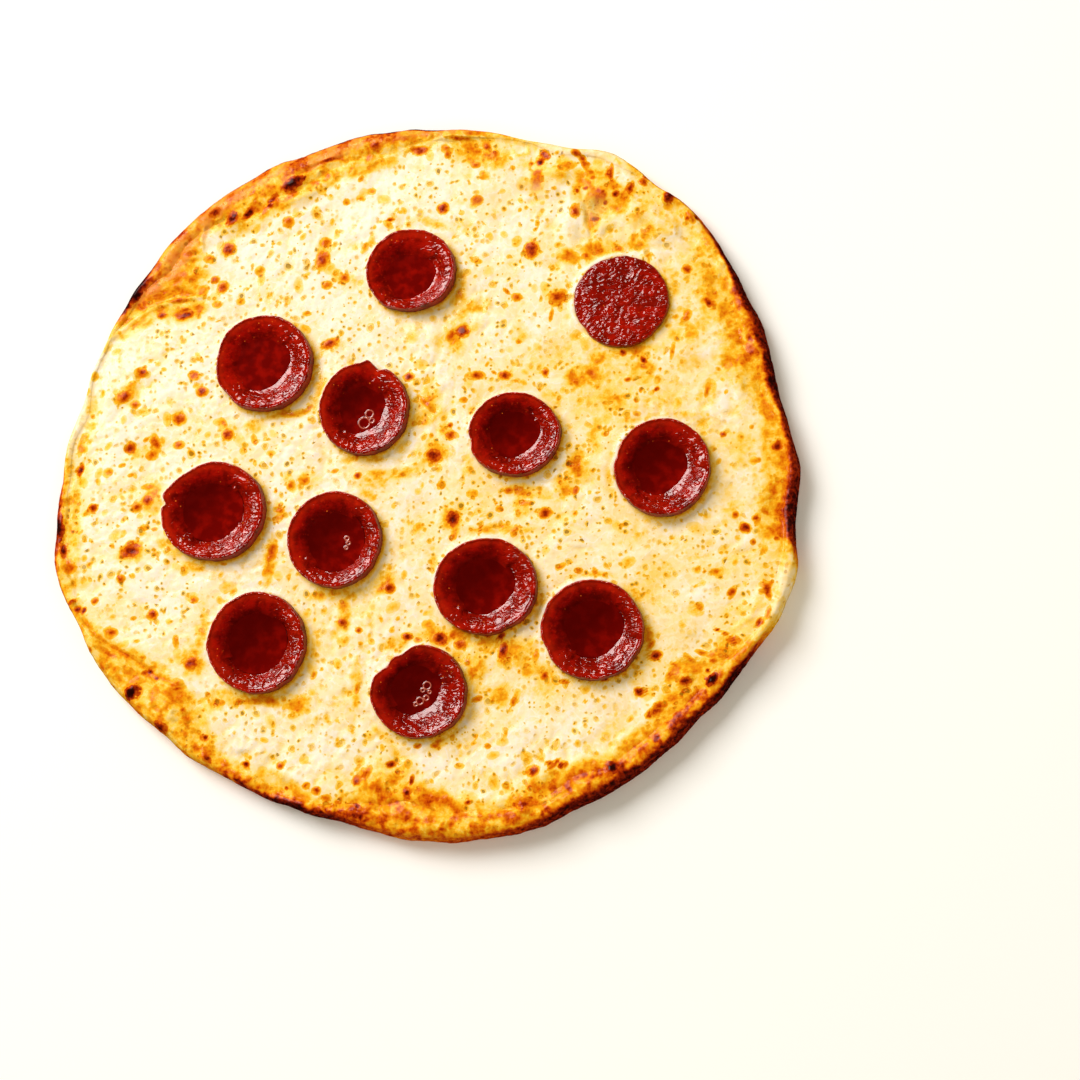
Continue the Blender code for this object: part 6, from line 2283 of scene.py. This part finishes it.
@dataclass(frozen=True)
class Lamp:
    """A square soft lamp that faces the bread.

    Attributes:
        name: the lamp's name.
        place: where it hangs, in mm.
        size: its side in mm.
        watts: its power.
        colour: its colour.
        glints: whether it shows in glossy surfaces.
    """

    name: str
    place: tuple[float, float, float]
    size: float
    watts: float
    colour: Colour
    glints: bool

    def build(self) -> None:
        """Hang the lamp."""
        data = bpy.data.lights.new(self.name, "AREA")
        data.size = self.size * MM
        data.energy = self.watts
        data.color = self.colour
        item = bpy.data.objects.new(self.name, data)
        item.location = Vector(self.place) * MM
        item.rotation_euler = (-item.location).to_track_quat("-Z", "Y").to_euler()
        item.visible_glossy = self.glints
        bpy.context.collection.objects.link(item)


LAMPS = (
    Lamp("key", (-960.0, 960.0, 1350.0), 1100.0, 40.5, (1.0, 0.98, 0.945), True),
    Lamp("fill", (500.0, -500.0, 1000.0), 900.0, 3.0, (1.0, 0.90, 0.70), False),
)


@dataclass(frozen=True)
class Studio:
    """Camera, sky and floor.

    Attributes:
        azimuth: direction of the camera, in degrees right of straight in front.
        elevation: height of the camera above the floor, in degrees.
        aim: place on the floor at the middle of the picture, in mm.
        away: distance of the camera from there, in mm.
        lens: focal length in mm.
        sensor: width of the sensor in mm.
        half_floor: half the floor's side, in metres.
        floor_colour: colour of the floor.
        sky_colour: colour of the light from all sides.
        sky: strength of the light from all sides.
    """

    azimuth: float = 40.5
    elevation: float = 77.4
    aim: tuple[float, float, float] = (45.689, -24.459, 0.0)
    away: float = 800.1
    lens: float = 70.0
    sensor: float = 36.0
    half_floor: float = 3.0
    floor_colour: Colour = (0.97, 0.97, 0.97)
    sky_colour: Colour = (1.0, 0.91, 0.73)
    sky: float = 0.36

    def camera(self) -> None:
        """Set the camera, rolled so that +Y is up in the picture."""
        side = math.radians(self.azimuth)
        tilt = math.radians(self.elevation)
        flat = math.cos(tilt)
        back = Vector((math.sin(side) * flat, -math.cos(side) * flat, math.sin(tilt)))
        level = Vector((math.cos(side), math.sin(side), 0.0))
        upright = back.cross(level)
        right = level * math.cos(side) - upright * math.sin(side)
        up = level * math.sin(side) + upright * math.cos(side)
        data = bpy.data.cameras.new("camera")
        data.lens = self.lens
        data.sensor_width = self.sensor
        data.clip_start = 0.01
        eye = (Vector(self.aim) + self.away * back) * MM
        turned = Matrix((right, up, back)).transposed().to_4x4()
        item = bpy.data.objects.new("camera", data)
        item.matrix_world = Matrix.Translation(eye) @ turned
        bpy.context.collection.objects.link(item)
        bpy.context.scene.camera = item

    def lay_floor(self) -> None:
        """Lay the pale matt floor."""
        corners = [(-1, -1), (1, -1), (1, 1), (-1, 1)]
        points = [(self.half_floor * x, self.half_floor * y, 0.0) for x, y in corners]
        mesh = bpy.data.meshes.new("floor")
        mesh.from_pydata(points, [], [(0, 1, 2, 3)])
        floor = bpy.data.objects.new("floor", mesh)
        bpy.context.collection.objects.link(floor)
        material = bpy.data.materials.new("floor")
        material.use_nodes = True
        principled = material.node_tree.nodes["Principled BSDF"]
        principled.inputs["Base Color"].default_value = (*self.floor_colour, 1.0)
        principled.inputs["Roughness"].default_value = 0.9
        mesh.materials.append(material)
        floor.visible_glossy = False

    def build(self) -> None:
        """Set up the floor, the lamps, the sky and the camera."""
        self.lay_floor()
        for lamp in LAMPS:
            lamp.build()
        world = bpy.data.worlds.new("sky")
        world.use_nodes = True
        background = world.node_tree.nodes["Background"]
        background.inputs["Color"].default_value = (*self.sky_colour, 1.0)
        background.inputs["Strength"].default_value = self.sky
        world.cycles_visibility.glossy = False
        bpy.context.scene.world = world
        bpy.context.scene.view_settings.view_transform = "Standard"
        self.camera()


def main() -> None:
    """Build and dress every piece, in order."""
    logging.basicConfig(level=logging.INFO, format="%(name)s: %(message)s")
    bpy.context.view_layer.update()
    browning = browning_group()
    pores = pore_group()
    crust = BakedFinish("crust", 0.20, 0.06, grain=0.7, pit=(0.60, 0.20, 0.004),
                        deep_pit=(0.30, 0.06, 0.002), pitting=0.5, folds=0.5, stain=0.06,
                        halo=0.06)
    cheese = BakedFinish("cheese", 0.16, 0.07, grain=0.6, stain=0.07, glow=0.06,
                         depth=(1.0, 0.6, 0.3))
    meat = MeatFinish("sausage", 0.12, 0.58).build()
    oil = OilFinish("oil", 0.05, coat=0.6).build()
    Crust().build(crust.build(browning, pores))
    Cheese().build(cheese.build(browning, pores))
    for plan in SLICES:
        Slice(plan).build(meat, oil)
    Studio().build()
    LOG.info("finished")


if __name__ == "__main__":
    main()
